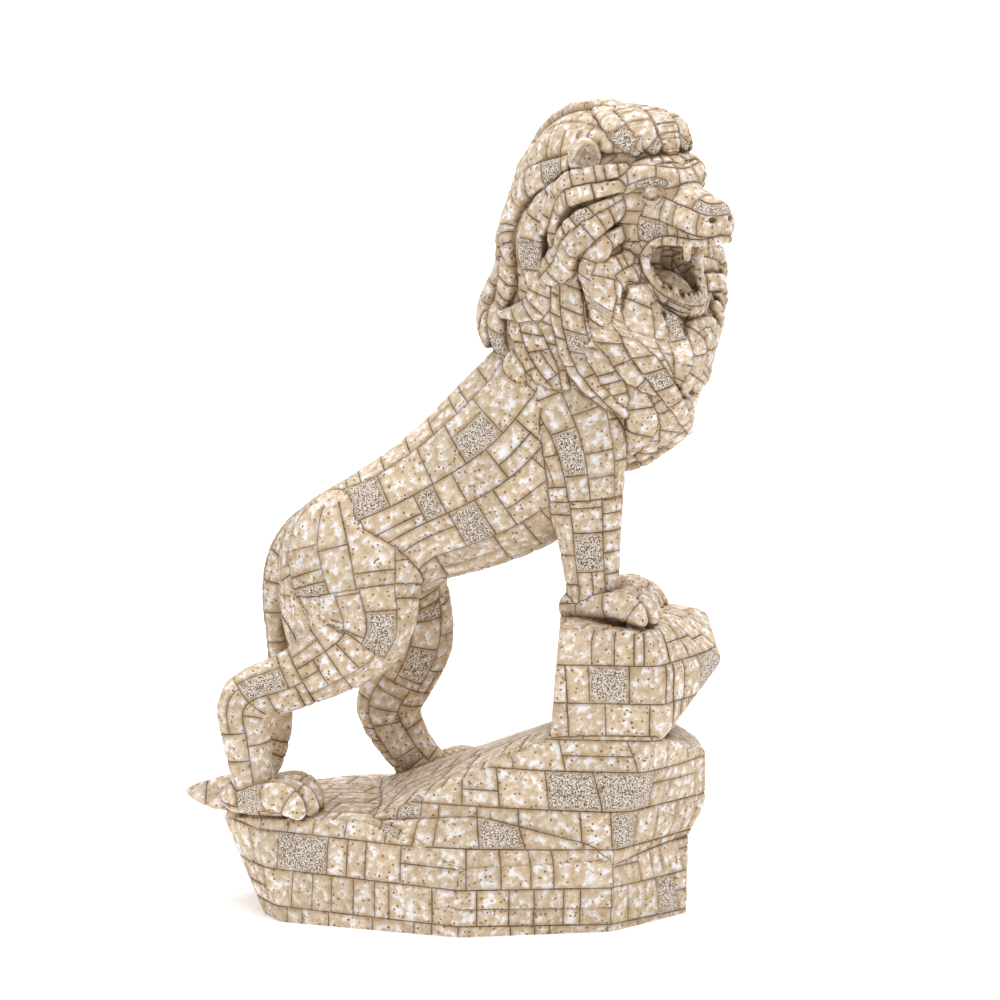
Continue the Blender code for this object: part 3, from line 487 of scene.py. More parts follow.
THROAT = Lump((15, 0, -23.8), (13.5, 11.6, 11.6), 2.8)   # the hollow between tongue and palate
MOUTH_BOX = ((-4, -1, -46), (50, 22, -6))
PALATE = -13.4                   # height of the mouth's roof
MOUTH_CORNER = 16.2              # how far forward its corner is
CHIN_FROM, CHIN_CURVE = -26, 0.052   # height where the lower jaw's edge starts to curve forward, and how fast


def open_mouth(d, q):
    """Cuts the roaring mouth out of the finished head: all that is below the palate and in front of a line
    that drops from the mouth's corner and curves forward to the chin, and a hollow behind it between the
    cheeks. The tongue and the teeth are left in it."""
    h = face_frame(q)
    near = ((h > MOUTH_BOX[0]) & (h < MOUTH_BOX[1])).all(1)
    h = h[near]
    roof = h[:, 2] - PALATE
    corner = MOUTH_CORNER + CHIN_CURVE * np.maximum(0, CHIN_FROM - h[:, 2]) ** 2 - h[:, 0]
    gape = cut(roof, 0.75 * corner, 4)
    hollow = cut(d[near], -join(gape, THROAT.distance(h), 2), 1.2)
    d[near] = blended(h, [(TONGUE, 1)] + [(fang, 0.6) for fang in FANGS], hollow)
    return d


def crown(p):
    q = halved(unturned(p))
    return open_mouth(join(mane(q), head(q), 1.2), q)


# ---- the whole casting
CROWN_BOX = ((-16, -70, 156), (122, 54, 344))   # all of the mane and the head, turned


def casting(p):
    d = body(p)
    near = ((p > CROWN_BOX[0]) & (p < CROWN_BOX[1])).all(1)
    if near.any():
        d[near] = join(d[near], crown(p[near]), 1.5)
    return join(d, rock(p), 1.6)


def mend(values):
    """Fills the few points that would leave the skin touching itself along an edge or at a corner: where four
    neighbours in a square, or eight in a cube, have only opposite corners alike."""
    inside = values < 0
    for _ in range(12):
        before = inside.sum()
        for axis in range(3):
            s = inside.transpose(axis, (axis + 1) % 3, (axis + 2) % 3)
            a, b, c, d = s[:, :-1, :-1], s[:, 1:, 1:], s[:, 1:, :-1], s[:, :-1, 1:]
            c |= a & b & ~c & ~d
            a |= c & d & ~a & ~b
        corner = [inside[i:i - 1 or None, j:j - 1 or None, k:k - 1 or None]
                  for i in (0, 1) for j in (0, 1) for k in (0, 1)]
        count = sum(c.astype(np.int8) for c in corner)
        for first in range(4):
            pair = corner[first] & corner[7 - first] & (count == 2)
            corner[(first + 1) % 4 if first != 3 else 1][pair] = True
            gap = ~corner[first] & ~corner[7 - first] & (count == 6)
            corner[first][gap] = True
        if inside.sum() == before:
            break
    return np.where(inside & (values >= 0), -0.02, values).astype(np.float32)


def gathered(at, rows, size):
    """Adds up rows of three numbers, each at the vertex that it is meant for."""
    return np.stack([np.bincount(at.ravel(), rows[:, i], size) for i in range(3)], 1)


def skin(values):
    """Surface nets: one vertex in each grid cell that the surface crosses, at the mean of its edge crossings,
    and one quad round each grid edge that it crosses. Places are in grid numbers."""
    shape = np.array(values.shape)
    stride = np.array([shape[1] * shape[2], shape[2], 1])
    cells, points, flip = [], [], []
    for axis in range(3):
        order = [axis, (axis + 1) % 3, (axis + 2) % 3]
        v = values.transpose(order)
        at = np.stack(np.nonzero((v[:-1] < 0) != (v[1:] < 0)), 1)
        at = at[((at[:, 1:] > 0) & (at[:, 1:] < np.array(v.shape[1:]) - 1)).all(1)]
        a, b = v[tuple(at.T)], v[at[:, 0] + 1, at[:, 1], at[:, 2]]
        crossing = at.astype(np.float64)
        crossing[:, 0] += a / (a - b)
        back = np.empty_like(crossing)
        back[:, order] = crossing
        points.append(back)
        s = stride[order]
        corner = at @ s
        cells.append(np.stack([corner - s[1] - s[2], corner - s[2], corner, corner - s[1]], 1))
        flip.append(a > b)
    cells, points, flip = np.concatenate(cells), np.concatenate(points), np.concatenate(flip)
    used, quads = np.unique(cells, return_inverse=True)
    quads = quads.reshape(cells.shape)
    count = np.bincount(quads.ravel(), minlength=len(used))
    verts = gathered(quads, np.repeat(points, 4, 0), len(used)) / count[:, None]
    quads[flip] = quads[flip][:, ::-1]
    return verts, quads


def largest(verts, quads):
    """Keeps the one skin with the most vertices: each vertex takes the lowest number that it is joined to."""
    label = np.arange(len(verts))
    while True:
        low = label.copy()
        np.minimum.at(low, quads.ravel(), np.repeat(label[quads].min(1), 4))
        low = low[low]
        if (low == label).all():
            break
        label = low
    kept = label == np.bincount(label).argmax()
    number = np.cumsum(kept) - 1
    return verts[kept], number[quads[kept[quads[:, 0]]]]


ON_FLOOR = 0.35                  # a vertex of the underside that is lower than this goes down to the floor


def settle(verts, field, step=0.25):
    """Moves vertices on to the surface along the field's slope, and the underside's on to the floor."""
    v = verts.astype(np.float32)
    d, g = field(v), slope(field, v, step) / (2 * step)
    v = v - np.clip(d, -1, 1)[:, None] * g / np.maximum((g * g).sum(1, keepdims=True), 0.3)
    v[:, 2] = np.where(v[:, 2] < ON_FLOOR, 0.0, v[:, 2])
    return v


# ---- the blocks that the surface is scored into
def chance(*keys):
    """A steady number from 0 to 1 for each row of whole numbers."""
    x = np.float64(0.0)
    for k, scale in zip(keys, (12.9898, 78.233, 37.719, 93.989)):
        x = x + np.asarray(k, np.float64) * scale
    return np.modf(np.abs(np.sin(x) * 43758.5453))[0]


def parted(at, low, high, share, chosen):
    """Splits the chosen blocks at a share of their length: their new ends, and which places are past it."""
    half = low + share * (high - low)
    past = chosen & (at > half)
    return np.where(past, half, low), np.where(chosen & (at <= half), half, high), past


def ashlar(u, v, du, dv, rows, seed, split):
    """Blocks in courses of uneven height, broken by uneven uprights; a share of them is split once more.
    Gives each point the nearest joint to either side along u and along v, and its block's number. rows
    closes the courses round a limb; dv = 0 leaves out the courses, so that only cross joints are left."""
    i = np.zeros(len(u), int)
    bottom, top = np.full(len(u), -1e3), np.full(len(u), 1e3)
    if dv:
        def course(k):
            return (k + 0.3 * chance(k % rows if rows else k, seed)) * dv
        i = np.floor(v / dv).astype(int)
        i = np.where(v < course(i), i - 1, i)
        bottom, top = course(i), course(i + 1)
    ring = i % rows if rows else i

    def upright(k):
        return (k + 0.5 * (ring % 2) + 0.4 * (chance(k, ring, seed) - 0.5)) * du
    j = np.floor(u / du - 0.5 * (ring % 2)).astype(int)
    j = np.where(u < upright(j), j - 1, j)
    j = np.where(u >= upright(j + 1), j + 1, j)
    left, right = upright(j), upright(j + 1)
    pick, place = chance(j, ring, seed, 3), 0.35 + 0.3 * chance(j, ring, seed, 5)
    number = chance(j, ring, seed, 7)
    left, right, past = parted(u, left, right, place, pick < split)
    number = np.where(past, chance(j, ring, seed, 11), number)
    if dv:
        bottom, top, past = parted(v, bottom, top, place, (pick >= split) & (pick < 1.6 * split))
        number = np.where(past, chance(j, ring, seed, 13), number)
    return np.where(u - left < right - u, left, right), np.where(v - bottom < top - v, bottom, top), number


# A form with blocks of its own. space: 'body', 'mane' or 'head'; lay(p) gives u and v on its surface in mm;
# du, dv: block size; rows: courses round it; split: the share of blocks split once more; joint: whether its
# border is scored; plain: one block, with no joints in it; wall: whether it is a face of the rock.
Field = namedtuple("Field", "form space lay du dv rows split joint plain wall",
                   defaults=(0, 0.3, True, False, False))


class Stretch:
    """A stretch of a limb between two of its nodes, with courses of its own round it."""

    def __init__(self, limb, first, last):
        self.limb, self.lo, self.hi = limb, limb.lo, limb.hi
        self.rings = limb.rings
        length = np.linalg.norm(np.diff(self.rings[:, :3], axis=0), axis=1)
        self.start = np.concatenate([[0], np.cumsum(length)])
        ends = [min(node * STEPS, len(self.rings) - 1) for node in (first, last)]
        self.ends = [self.start[i] for i in ends]
        self.girth = self.rings[ends[0]:ends[1] + 1, 3:5].mean()

    def lay(self, p):
        """Along the limb, and the angle round it times its mean radius. Segments that are almost as near as
        the nearest one have their say, so that both run smoothly round a bend."""
        found = [off_line(p, a[:3], b[:3]) for a, b in zip(self.rings, self.rings[1:])]
        away = [np.linalg.norm(q, axis=1) + 1e-6 for _, _, _, q in found]
        near = np.min(away, 0)
        total, along, sine, cosine = np.zeros((4, len(p)))
        for done, r, (way, length, t, q) in zip(self.start, away, found):
            share = np.exp((near - r) / 1.6)
            total += share
            along += share * (done + t * length)
            sine += share * (q @ self.limb.across) / r
            cosine += share * (q @ np.cross(way, self.limb.across)) / r
        return along / total, np.arctan2(sine, cosine) * self.girth

    def distance(self, p):
        u, _ = self.lay(p)
        out = np.zeros(len(p))
        if self.ends[0] > 0:
            out = np.maximum(out, self.ends[0] - u)
        if self.ends[1] < self.start[-1]:
            out = np.maximum(out, u - self.ends[1])
        return self.limb.distance(p) + out


def limb_fields(limb, space, du, across, split=0.3, breaks=(0, 99)):
    """One field for each stretch between the nodes named in breaks, of which 99 is the last; across: about
    how wide a course is."""
    out = []
    for first, last in zip(breaks, breaks[1:]):
        stretch = Stretch(limb, first, last)
        rows = max(1, round(2 * math.pi * stretch.girth / across)) if across else 0
        dv = 2 * math.pi * stretch.girth / rows if rows else 0
        out.append(Field(stretch.distance, space, stretch.lay, du, dv, rows, split))
    return out


def about(centre, rule):
    """Lays blocks by a rule that turns an offset from the centre into u and v."""
    return lambda p: rule(*(p - vec(*centre)).T)


def along_strand(lock):
    """Along the strand, and across it."""
    def lay(p):
        far, u, v = [], [], []
        done = 0.0
        for a, b, normal in zip(lock.at, lock.at[1:], lock.normal):
            way, length, t, q = off_line(p, a, b)
            far.append((q * q).sum(1))
            u.append(done + t * length)
            v.append(q @ np.cross(way, normal))
            done += length
        nearest = np.argmin(far, 0), np.arange(len(p))
        return np.array(u)[nearest], np.array(v)[nearest]
    return lay


FLAT = 0.72                      # how much of its normal is upward where a face is laid from above
COS, SIN = 0.94, 0.34            # the turn of those blocks, 20 degrees off the lion's walk
APART = 600                      # keeps their numbers clear of those of the sides
COURSE_RISE = 0.03               # how much the courses of the sides climb along the outline


def walled(block, centre, half_length, half_width):
    """Courses round a block of rock: along its outline, as round an oval about a centre, and up. Its flatter
    faces are laid from above instead, along the lion's walk and across it, turned a little. Each triangle is
    laid on the face that its middle is nearest to."""
    girth = 0.5 * (half_length + half_width)

    def lay(corner):
        facet = (corner.mean(1) @ block.planes[:, :3].T - block.planes[:, 3]).argmax(1)
        flat = (block.planes[facet, 2] > FLAT)[:, None]
        x, y = corner[:, :, 0] - centre[0], corner[:, :, 1] - centre[1]
        u = np.arctan2(y / half_width, x / half_length) * girth
        u -= np.round((u - u[:, :1]) / (2 * math.pi * girth)) * 2 * math.pi * girth
        v = corner[:, :, 2] + COURSE_RISE * u
        return np.where(flat, COS * x - SIN * y + APART, u), np.where(flat, SIN * x + COS * y + APART, v)
    return Field(block.distance, "body", lay, 16, 14.5, 0, 0.28, wall=True)


FIELDS = [walled(block, (-4, -2), 92, 58) for block in (SLAB, RAMP, BOULDER, LEDGE)]
FIELDS += [walled(TOWER, (64, -8), 34, 42)]
# the mane's ground: the angle about a line from ear to ear, and the angle away from that line
lay = about((50, 0, 262), lambda x, y, z: (40 * np.arctan2(z, x), 40 * np.arctan2(np.hypot(x, z), y)))
FIELDS += [Field(lambda q: mane_ground(q) + BASE_SINK, "mane", lay, 14, 12)]
for limb, du, across, split, breaks in (
        (TORSO, 20, 15, 0.45, (0, 99)), (NEAR_HIND, 14, 14, 0.25, (0, 1, 2, 3, 99)),
        (FAR_HIND, 14, 13, 0.25, (0, 1, 3, 99)), (NEAR_FORE, 13, 13, 0.2, (0, 2, 99)),
        (FAR_FORE, 13, 13, 0.2, (0, 2, 99)), (TAIL, 14, 15, 0.2, (0, 99)), (TUFT, 12, 22, 0.1, (0, 99))):
    FIELDS += limb_fields(limb, "body", du, across, split, breaks)
for paw in PAWS:
    FIELDS += limb_fields(paw.parts[0], "body", 11, 12, 0.1)
    for toe in paw.parts[1:]:
        FIELDS += limb_fields(toe, "body", 10, 0, 0.0)
for lock, row in zip(LOCKS, STRANDS):
    FIELDS.append(Field(lock.distance, "mane", along_strand(lock), 10, 9 if row[4] > 14 else 0, 0, 0.12))


def muzzle_side(h):
    """Past nought behind the line where the muzzle leaves the cheek."""
    return 17.5 - h[:, 0] - 0.35 * (np.abs(h[:, 1]) - 10)


# the cheek forward and up, slanting; the muzzle up, and the angle about an upright line in the skull
for side, lay in ((1, about((0, 0, 1), lambda x, y, z: (x, z + 0.3 * x))),
                  (-1, about((-2, 0, 0), lambda x, y, z: (z, 17 * np.arctan2(y, x))))):
    FIELDS.append(Field(lambda h, side=side: np.maximum(blended(h, FACE_MASSES), side * muzzle_side(h)),
                        "head", lay, 9.5, 9))
for roll, du, across in ((BROW, 9.5, 0), (JAW, 10, 9), (UPPER_LIP, 9, 0), (LOWER_LIP, 60, 0),
                         (EYEBROW, 60, 0)):
    FIELDS += limb_fields(roll, "head", du, across)
for form, spot, joint in ((lambda h: FACE_MASSES[-1][0].distance(h) - 0.4, EYE, True),
                          (EYE.distance, EYE, False), (EAR.distance, EAR, True),
                          *((bare.distance, EYE, False) for bare in [TONGUE] + LIDS + FANGS)):
    lay = about(spot.centre, lambda x, y, z: (x, z))
    FIELDS.append(Field(form, "head", lay, 50, 0, joint=joint, plain=True))
REACH = 5.0                      # a form farther from the skin than this takes no part in its blocks
CROWN_FROM = 166                 # no point below this height belongs to the mane or the head


def spaces(p):
    q = halved(unturned(p))
    return {"body": p, "mane": q, "head": face_frame(q)}


def owners(p):
    """For each point, its nearest form and the next nearest, and how far it is outside each."""
    near, far = np.full(len(p), 1e3, np.float32), np.full(len(p), 1e3, np.float32)
    first, second = np.zeros(len(p), int), np.zeros(len(p), int)
    place = spaces(p)
    upper = p[:, 2] > CROWN_FROM
    for k, field in enumerate(FIELDS):
        q = place[field.space]
        rows = np.nonzero(upper | (field.space == "body"))[0]
        boxed = getattr(field.form, "__self__", None)
        if boxed is not None:
            rows = rows[((q[rows] > boxed.lo - REACH) & (q[rows] < boxed.hi + REACH)).all(1)]
        if not len(rows):
            continue
        d = field.form(q[rows]).astype(np.float32)
        n, f = near[rows], far[rows]
        closer, next_closer = d < n, (d >= n) & (d < f)
        far[rows] = np.where(closer, n, np.where(next_closer, d, f))
        second[rows] = np.where(closer, first[rows], np.where(next_closer, k, second[rows]))
        near[rows] = np.where(closer, d, n)
        first[rows] = np.where(closer, k, first[rows])
    return first, second, near, far


def evened(first, tris, rounds=5):
    """Each point goes over to the form that most of its neighbours follow, so that borders run smooth."""
    a, b = tris.ravel().astype(np.int64), np.roll(tris, -1, 1).ravel()
    a, b = np.concatenate([a, b]), np.concatenate([b, a])
    kinds = len(FIELDS)
    for _ in range(rounds):
        mixed = np.zeros(len(first), bool)
        mixed[a[first[a] != first[b]]] = True
        near = mixed[a]
        own = np.nonzero(mixed)[0]
        votes = np.concatenate([a[near] * kinds + first[b[near]], own * kinds + first[own]])
        used, count = np.unique(votes, return_counts=True)
        best = np.lexsort((count, used // kinds))
        point = used[best] // kinds
        last = np.append(point[1:] != point[:-1], True)
        first = first.copy()
        first[point[last]] = used[best][last] % kinds
    return first


NO_JOINT = 30.0                  # far enough for a corner to be clear of every joint
BORDER_REACH = 4                 # how much nearer one form may be than the next where their border counts
STEEPEST = 2.2                   # a set of numbers that changes faster than this has no joint in the triangle


def joints(verts, tris):
    """For each corner of each triangle, how far it is past the nearest cross joint, course joint and
    border, in mm along the surface, and for each triangle its block's number and form. A triangle follows
    one form, so that its numbers are straight across it, and a joint is a crisp line where one of them
    passes nought."""
    p = verts.astype(np.float32)
    nearest, second, near, far = owners(p)
    first = evened(nearest, tris)
    mine = first[tris[:, 0]]
    place = spaces(p)
    past, number = np.zeros((len(tris), 3, 3)), np.zeros(len(tris))
    gap = np.where(first == nearest, np.minimum(far - near, BORDER_REACH), 0.1)[tris]
    past[:, :, 2] = np.where(first[tris] == mine[:, None], gap, -gap)
    side = (p[tris[:, 0], 1] > 0).astype(int)
    for k in np.unique(mine):
        rows, f = np.nonzero(mine == k)[0], FIELDS[k]
        if f.wall:
            u, v = f.lay(verts[tris[rows]])
        else:
            used, back = np.unique(tris[rows], return_inverse=True)
            u, v = np.array(f.lay(place[f.space][used]), float)[:, back.reshape(-1, 3)]
        if f.rows:
            v -= np.round((v - v[:, :1]) / (f.rows * f.dv)) * f.rows * f.dv
        seed = 1 if f.wall else k + (100 * side[rows] if f.space != "body" else 0)
        cross, course, number[rows] = ashlar(u.mean(1), v.mean(1), f.du, f.dv, f.rows, seed, f.split)
        past[rows, :, 0], past[rows, :, 1] = u - cross[:, None], v - course[:, None]
    scored = np.array([f.joint for f in FIELDS])
    plain = np.array([f.plain for f in FIELDS])
    open_border = scored[mine] & scored[second[tris[:, 0]]]
    # each set of numbers is divided by its own slope across the triangle, which makes it millimetres
    corners = p[tris].astype(np.float64)
    e1, e2 = corners[:, 1] - corners[:, 0], corners[:, 2] - corners[:, 0]
    g11, g12, g22 = (e1 * e1).sum(1), (e1 * e2).sum(1), (e2 * e2).sum(1)
    det = np.maximum(g11 * g22 - g12 * g12, 1e-9)
    for axis, least in ((0, 0.3), (1, 0.3), (2, 0.25)):
        d1, d2 = past[:, 1, axis] - past[:, 0, axis], past[:, 2, axis] - past[:, 0, axis]
        rise = np.sqrt(np.maximum((g22 * d1 * d1 - 2 * g12 * d1 * d2 + g11 * d2 * d2) / det, 0))
        clear = (rise > least) & (rise < STEEPEST)
        past[:, :, axis] = np.where(clear, past[:, :, axis].T / np.maximum(rise, least), NO_JOINT).T
    past[plain[mine], :, :2] = NO_JOINT
    past[~open_border, :, 2] = NO_JOINT
    return np.clip(past, -NO_JOINT, NO_JOINT), number, mine


# ---- skinning and scoring
COARSE, FINE = 1.5, 0.72         # spacing of the points where the form is sampled, and across the face
WIDENING = 12                    # how far from the face the one becomes the other
SKIN_BOX = ((-124, -74, -4), (108, 66, 338))
FACE_BOX = ((58, -62, 240), (106, -6, 308))


def graded(lo, hi, face_lo, face_hi, parts=8):
    """Places along one axis: FINE apart across the face, widening to COARSE beside it. Their number is a
    whole number of parts and one more."""
    at = [lo]
    while at[-1] < hi or (len(at) - 1) % parts:
        away = max(face_lo - at[-1], at[-1] - face_hi, 0)
        at.append(at[-1] + FINE + (COARSE - FINE) * min(1, away / WIDENING))
    return np.array(at, np.float32)


def stepped(field, axes, stride=8):
    """The field at every point of a grid: at every eighth place first, then halved again and again, each time
    worked out anew only in the band near the surface."""
    gaps = [np.gradient(a) for a in axes]
    reach = gaps[0][:, None, None] + gaps[1][:, None] + gaps[2]
    values = None
    while stride:
        sub = [a[::stride] for a in axes]
        if values is None:
            points = np.stack(np.meshgrid(*sub, indexing="ij"), -1).reshape(-1, 3)
            values = field(points).reshape([len(a) for a in sub])
        else:
            for axis in range(3):
                v = np.moveaxis(values, axis, 0)
                finer = np.empty((2 * len(v) - 1, *v.shape[1:]), np.float32)
                finer[::2] = v
                finer[1::2] = 0.5 * (v[:-1] + v[1:])
                values = np.moveaxis(finer, 0, axis)
            values = np.ascontiguousarray(values)
            band = np.nonzero(np.abs(values) < 0.8 * stride * reach[::stride, ::stride, ::stride])
            values[band] = field(np.stack([a[i] for a, i in zip(sub, band)], 1))
        stride //= 2
    return values


axes = [graded(*ends) for ends in zip(*SKIN_BOX, *FACE_BOX)]
values = stepped(casting, axes)
verts, quads = largest(*skin(mend(values)))
verts = np.stack([np.interp(verts[:, i], np.arange(len(axes[i])), axes[i]) for i in range(3)], 1)
verts = settle(verts, casting)


def midpoints(verts, quads):
    """One round of smooth subdivision (Catmull-Clark) of a closed skin of quads."""
    a, b = quads, np.roll(quads, -1, 1)
    keys = np.minimum(a, b).astype(np.int64) * len(verts) + np.maximum(a, b)
    used, edge = np.unique(keys.ravel(), return_inverse=True)
    edge = edge.reshape(quads.shape)
    ends = np.stack([used // len(verts), used % len(verts)], 1)
    faces = verts[quads].mean(1)
    mid = verts[ends].mean(1)
    edges = 0.5 * (mid + gathered(edge, np.repeat(faces, 4, 0), len(ends)) / 2)
    n = np.bincount(quads.ravel(), minlength=len(verts))[:, None]
    around = gathered(quads, np.repeat(faces, 4, 0), len(verts)) / n
    spokes = gathered(ends, np.repeat(mid, 2, 0), len(verts)) / n
    moved = (around + 2 * spokes + (n - 3) * verts) / n
    new = np.concatenate([moved, edges, faces])
    at = len(verts) + edge
    middle = (len(verts) + len(ends) + np.arange(len(quads)))[:, None]
    out = [np.stack([quads[:, k], at[:, k], middle[:, 0], at[:, k - 1]], 1) for k in range(4)]
    return new, np.concatenate(out)


fine, fine_quads = midpoints(verts.astype(np.float64), quads)
h = face_frame(halved(unturned(fine.astype(np.float32))))
near_face = ((h > (-10, -1, -48)) & (h < (46, 36, 30))).all(1) & (fine[:, 2] > 200)
fine[near_face] = settle(fine[near_face], crown)


def facing(verts, faces):
    """Each face's normal: the cross product of its diagonals, or of two sides of a triangle."""
    return np.cross(verts[faces[:, 2]] - verts[faces[:, 0]], verts[faces[:, -1]] - verts[faces[:, 1]])


def outwards(verts, faces):
    """Each vertex's normal: the sum of its faces' normals, made one long."""
    return unit(gathered(faces, np.repeat(facing(verts, faces), faces.shape[1], 0), len(verts)))


UNDERSIDE = 0.6                  # the skin below this height is left as it is, flat and unscored
CREASE, BAND = 0.95, 0.12        # length of the mean normal where a crease starts, and how much less in full
EASE = 0.7                       # how far of the way a vertex of a crease moves


def eased(verts, quads, rounds=5):
    """Smooths ragged creases: where the normals of a vertex's neighbours spread widely, and their mean is
    short, the vertex moves most of the way to the middle of its neighbours."""
    a, b = quads.ravel(), np.roll(quads, -1, 1).ravel()
    count = np.bincount(a, minlength=len(verts))[:, None]
    for _ in range(rounds):
        mean_normal = gathered(a, outwards(verts, quads)[b], len(verts)) / count
        spread = np.clip((CREASE - np.linalg.norm(mean_normal, axis=1)) / BAND, 0, 1)
        spread[verts[:, 2] < UNDERSIDE] = 0
        verts = verts + EASE * spread[:, None] * (gathered(a, verts[b], len(verts)) / count - verts)
    return verts


fine = eased(fine, fine_quads)
tris = np.concatenate([fine_quads[:, [0, 1, 2]], fine_quads[:, [0, 2, 3]]])
past, number, form = joints(fine, tris)

JOINT_HALF, JOINT_DEEP = 0.75, 0.5       # a joint's half width and depth, in mm
PILLOW_HALF, PILLOW_DEEP = 3.0, 0.12     # how far from it a block's face starts to fall, and by how much
away = np.full(len(fine), 1e3)           # per vertex, how far its nearest joint is
np.minimum.at(away, tris.ravel(), np.abs(past).min(2).ravel())
t = np.clip(away / JOINT_HALF, 0, 1)
groove = JOINT_DEEP * (1 - t * t * (3 - 2 * t)) + PILLOW_DEEP * (1 - np.clip(away / PILLOW_HALF, 0, 1)) ** 2
groove[fine[:, 2] < UNDERSIDE] = 0
scored = fine - groove[:, None] * outwards(fine, tris)


def placed(name, data):
    """A new object that holds the data, in the scene."""
    thing = bpy.data.objects.new(name, data)
    bpy.context.scene.collection.objects.link(thing)
    return thing


FACETS = 196000
rough = bpy.data.meshes.new("rough")
rough.from_pydata(scored.tolist(), [], fine_quads.tolist())
carrier = placed("rough", rough)
thin = carrier.modifiers.new("thin", "DECIMATE")
thin.decimate_type = "COLLAPSE"
thin.use_collapse_triangulate = True
thin.ratio = FACETS / (2 * len(fine_quads))
bpy.context.view_layer.update()
done = carrier.evaluated_get(bpy.context.evaluated_depsgraph_get())
mesh = bpy.data.meshes.new_from_object(done)
bpy.data.objects.remove(carrier)
bpy.data.meshes.remove(rough)


def read(items, name, size, kind):
    """Rows of three numbers, kept by the mesh's vertices or by the corners of its triangles."""
    out = np.empty(size, kind)
    items.foreach_get(name, out)
    return out.reshape(-1, 3)


points = read(mesh.vertices, "co", 3 * len(mesh.vertices), float)
corners = read(mesh.loops, "vertex_index", len(mesh.loops), np.int32)
past, number, form = joints(points, corners)

# blocks pitted all over: each found by a spot on the -Y side (x, z), or else one in twelve on the +Y side
PITTED = [(6, 195), (-42, 170), (-21, 166), (4, 152), (-35, 118), (-66, 132), (-89, 95), (-89, 51),
          (-24, 51), (-22, 91), (-32, 42), (7, 40), (-62, 34), (-21, 11), (54, 90), (70, 58), (65, 41),
          (79, 11), (38, 58), (92, 100), (47, 151), (40, 197), (38, 230), (9, 232), (47, 246), (75, 216),
          (74, 311), (51, 314), (29, 304), (43, 286), (62, 277), (68, 297), (90, 288), (77, 244),
          (20, 265)]
SPOT, LARGEST_BLOCK = 2.5, 30    # how far a triangle may be from such a spot, and its block's others from it
PIT_SHARE, FAR_SIDE = 0.085, 4   # one in twelve, and where that side starts
middle = points[corners].mean(1)
face_on = facing(points, corners)[:, 1] < 0
pitted = (number < PIT_SHARE) & (middle[:, 1] > FAR_SIDE)
for x, z in PITTED:
    beside = np.nonzero(face_on & (np.hypot(middle[:, 0] - x, middle[:, 2] - z) < SPOT))[0]
    if len(beside):
        hit = beside[middle[beside, 1].argmin()]
        pitted |= (form == form[hit]) & (np.abs(number - number[hit]) < 1e-9) & (
            np.linalg.norm(middle - middle[hit], axis=1) < LARGEST_BLOCK)


def stored(name, kind, domain, field, values):
    """Keeps numbers for each vertex, or for each corner of each triangle."""
    mesh.attributes.new(name, kind, domain).data.foreach_set(field, values.astype(np.float32).ravel())


# distances to the three kinds of joint; then the block's number, below 1, or above it where it is pitted
block = np.broadcast_to((0.98 * number + 1.01 * pitted)[:, None, None], (len(corners), 3, 1))
stored("joints", "FLOAT_COLOR", "CORNER", "color", np.concatenate([past, block], 2))

# how shut in each point is: how much nearer than over open ground the skin still is, so many mm out; it sets
# where shade is painted into the colour
PROBES = (2.5, 7.0)
out = read(mesh.vertices, "normal", 3 * len(mesh.vertices), float)
shut_in = [np.clip(1 - casting((points + far * out).astype(np.float32)) / far, 0, 1) for far in PROBES]
stored("shelter", "FLOAT", "POINT", "value", np.mean(shut_in, 0))
mesh.vertices.foreach_set("co", ((points - np.array(CENTRE)) * MM).ravel())
mesh.name = "lion_on_rock"
lion = placed("lion_on_rock", mesh)
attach(lion, "root")
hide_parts("lion_on_rock")


def linear(code):
    """An sRGB colour in hex, as linear light: c / 12.92 below 0.04045, else ((c + 0.055) / 1.055)^2.4."""
    s = [int(code[i:i + 2], 16) / 255 for i in (1, 3, 5)]
    return (*(c / 12.92 if c <= 0.04045 else ((c + 0.055) / 1.055) ** 2.4 for c in s), 1.0)


# Stone-powder resin, cast, brushed with brown glaze that stays in the joints and pits, and wiped. It is matte
# and chalky to the eye, warm tan under white, with painted shade, the darkest brown, in its most shut-in
# hollows.
stone = bpy.data.materials.new("washed_stone_resin")
stone.use_nodes = True
nodes, links = stone.node_tree.nodes, stone.node_tree.links
shader = nodes["Principled BSDF"]


def node(kind, inputs, **settings):
    """Adds a node with its settings; an input, by name or number, takes a value, a socket or a node."""
    new = nodes.new("ShaderNode" + kind)
    for name, value in settings.items():
        setattr(new, name, value)
    for key, value in inputs.items():
        named = (s for s in new.inputs if s.enabled and s.name == key)
        socket = new.inputs[key] if isinstance(key, int) else next(named)
        if isinstance(value, bpy.types.Node):
            value = next(s for s in value.outputs if s.enabled)
        if isinstance(value, bpy.types.NodeSocket):
            links.new(value, socket)
        else:
            socket.default_value = value
    return new


# places in mm on the figure, shaken by 0.4 mm so that no mark is a perfect disc
place = node("VectorMath", {0: node("TexCoord", {}).outputs["Object"], "Scale": 1000.0}, operation="SCALE")
shake = node("TexNoise", {"Vector": place, "Scale": 1.1, "Detail": 2.0})
loose = node("VectorMath", {0: shake.outputs["Color"], 1: (0.9, 0.9, 0.9), 2: place},
             operation="MULTIPLY_ADD")
marks = node("Attribute", {}, attribute_name="joints")
past = node("SeparateXYZ", {0: marks.outputs["Vector"]})
block = node("Math", {0: marks.outputs["Alpha"]}, operation="FRACT")
pitted = node("Math", {0: marks.outputs["Alpha"], 1: 1.0}, operation="GREATER_THAN")
shelter = node("Attribute", {}, attribute_name="shelter").outputs["Fac"]
nearest = NO_JOINT
for axis in "XYZ":
    beside = node("Math", {0: past.outputs[axis]}, operation="ABSOLUTE")
    nearest = node("Math", {0: beside, 1: nearest}, operation="MINIMUM")

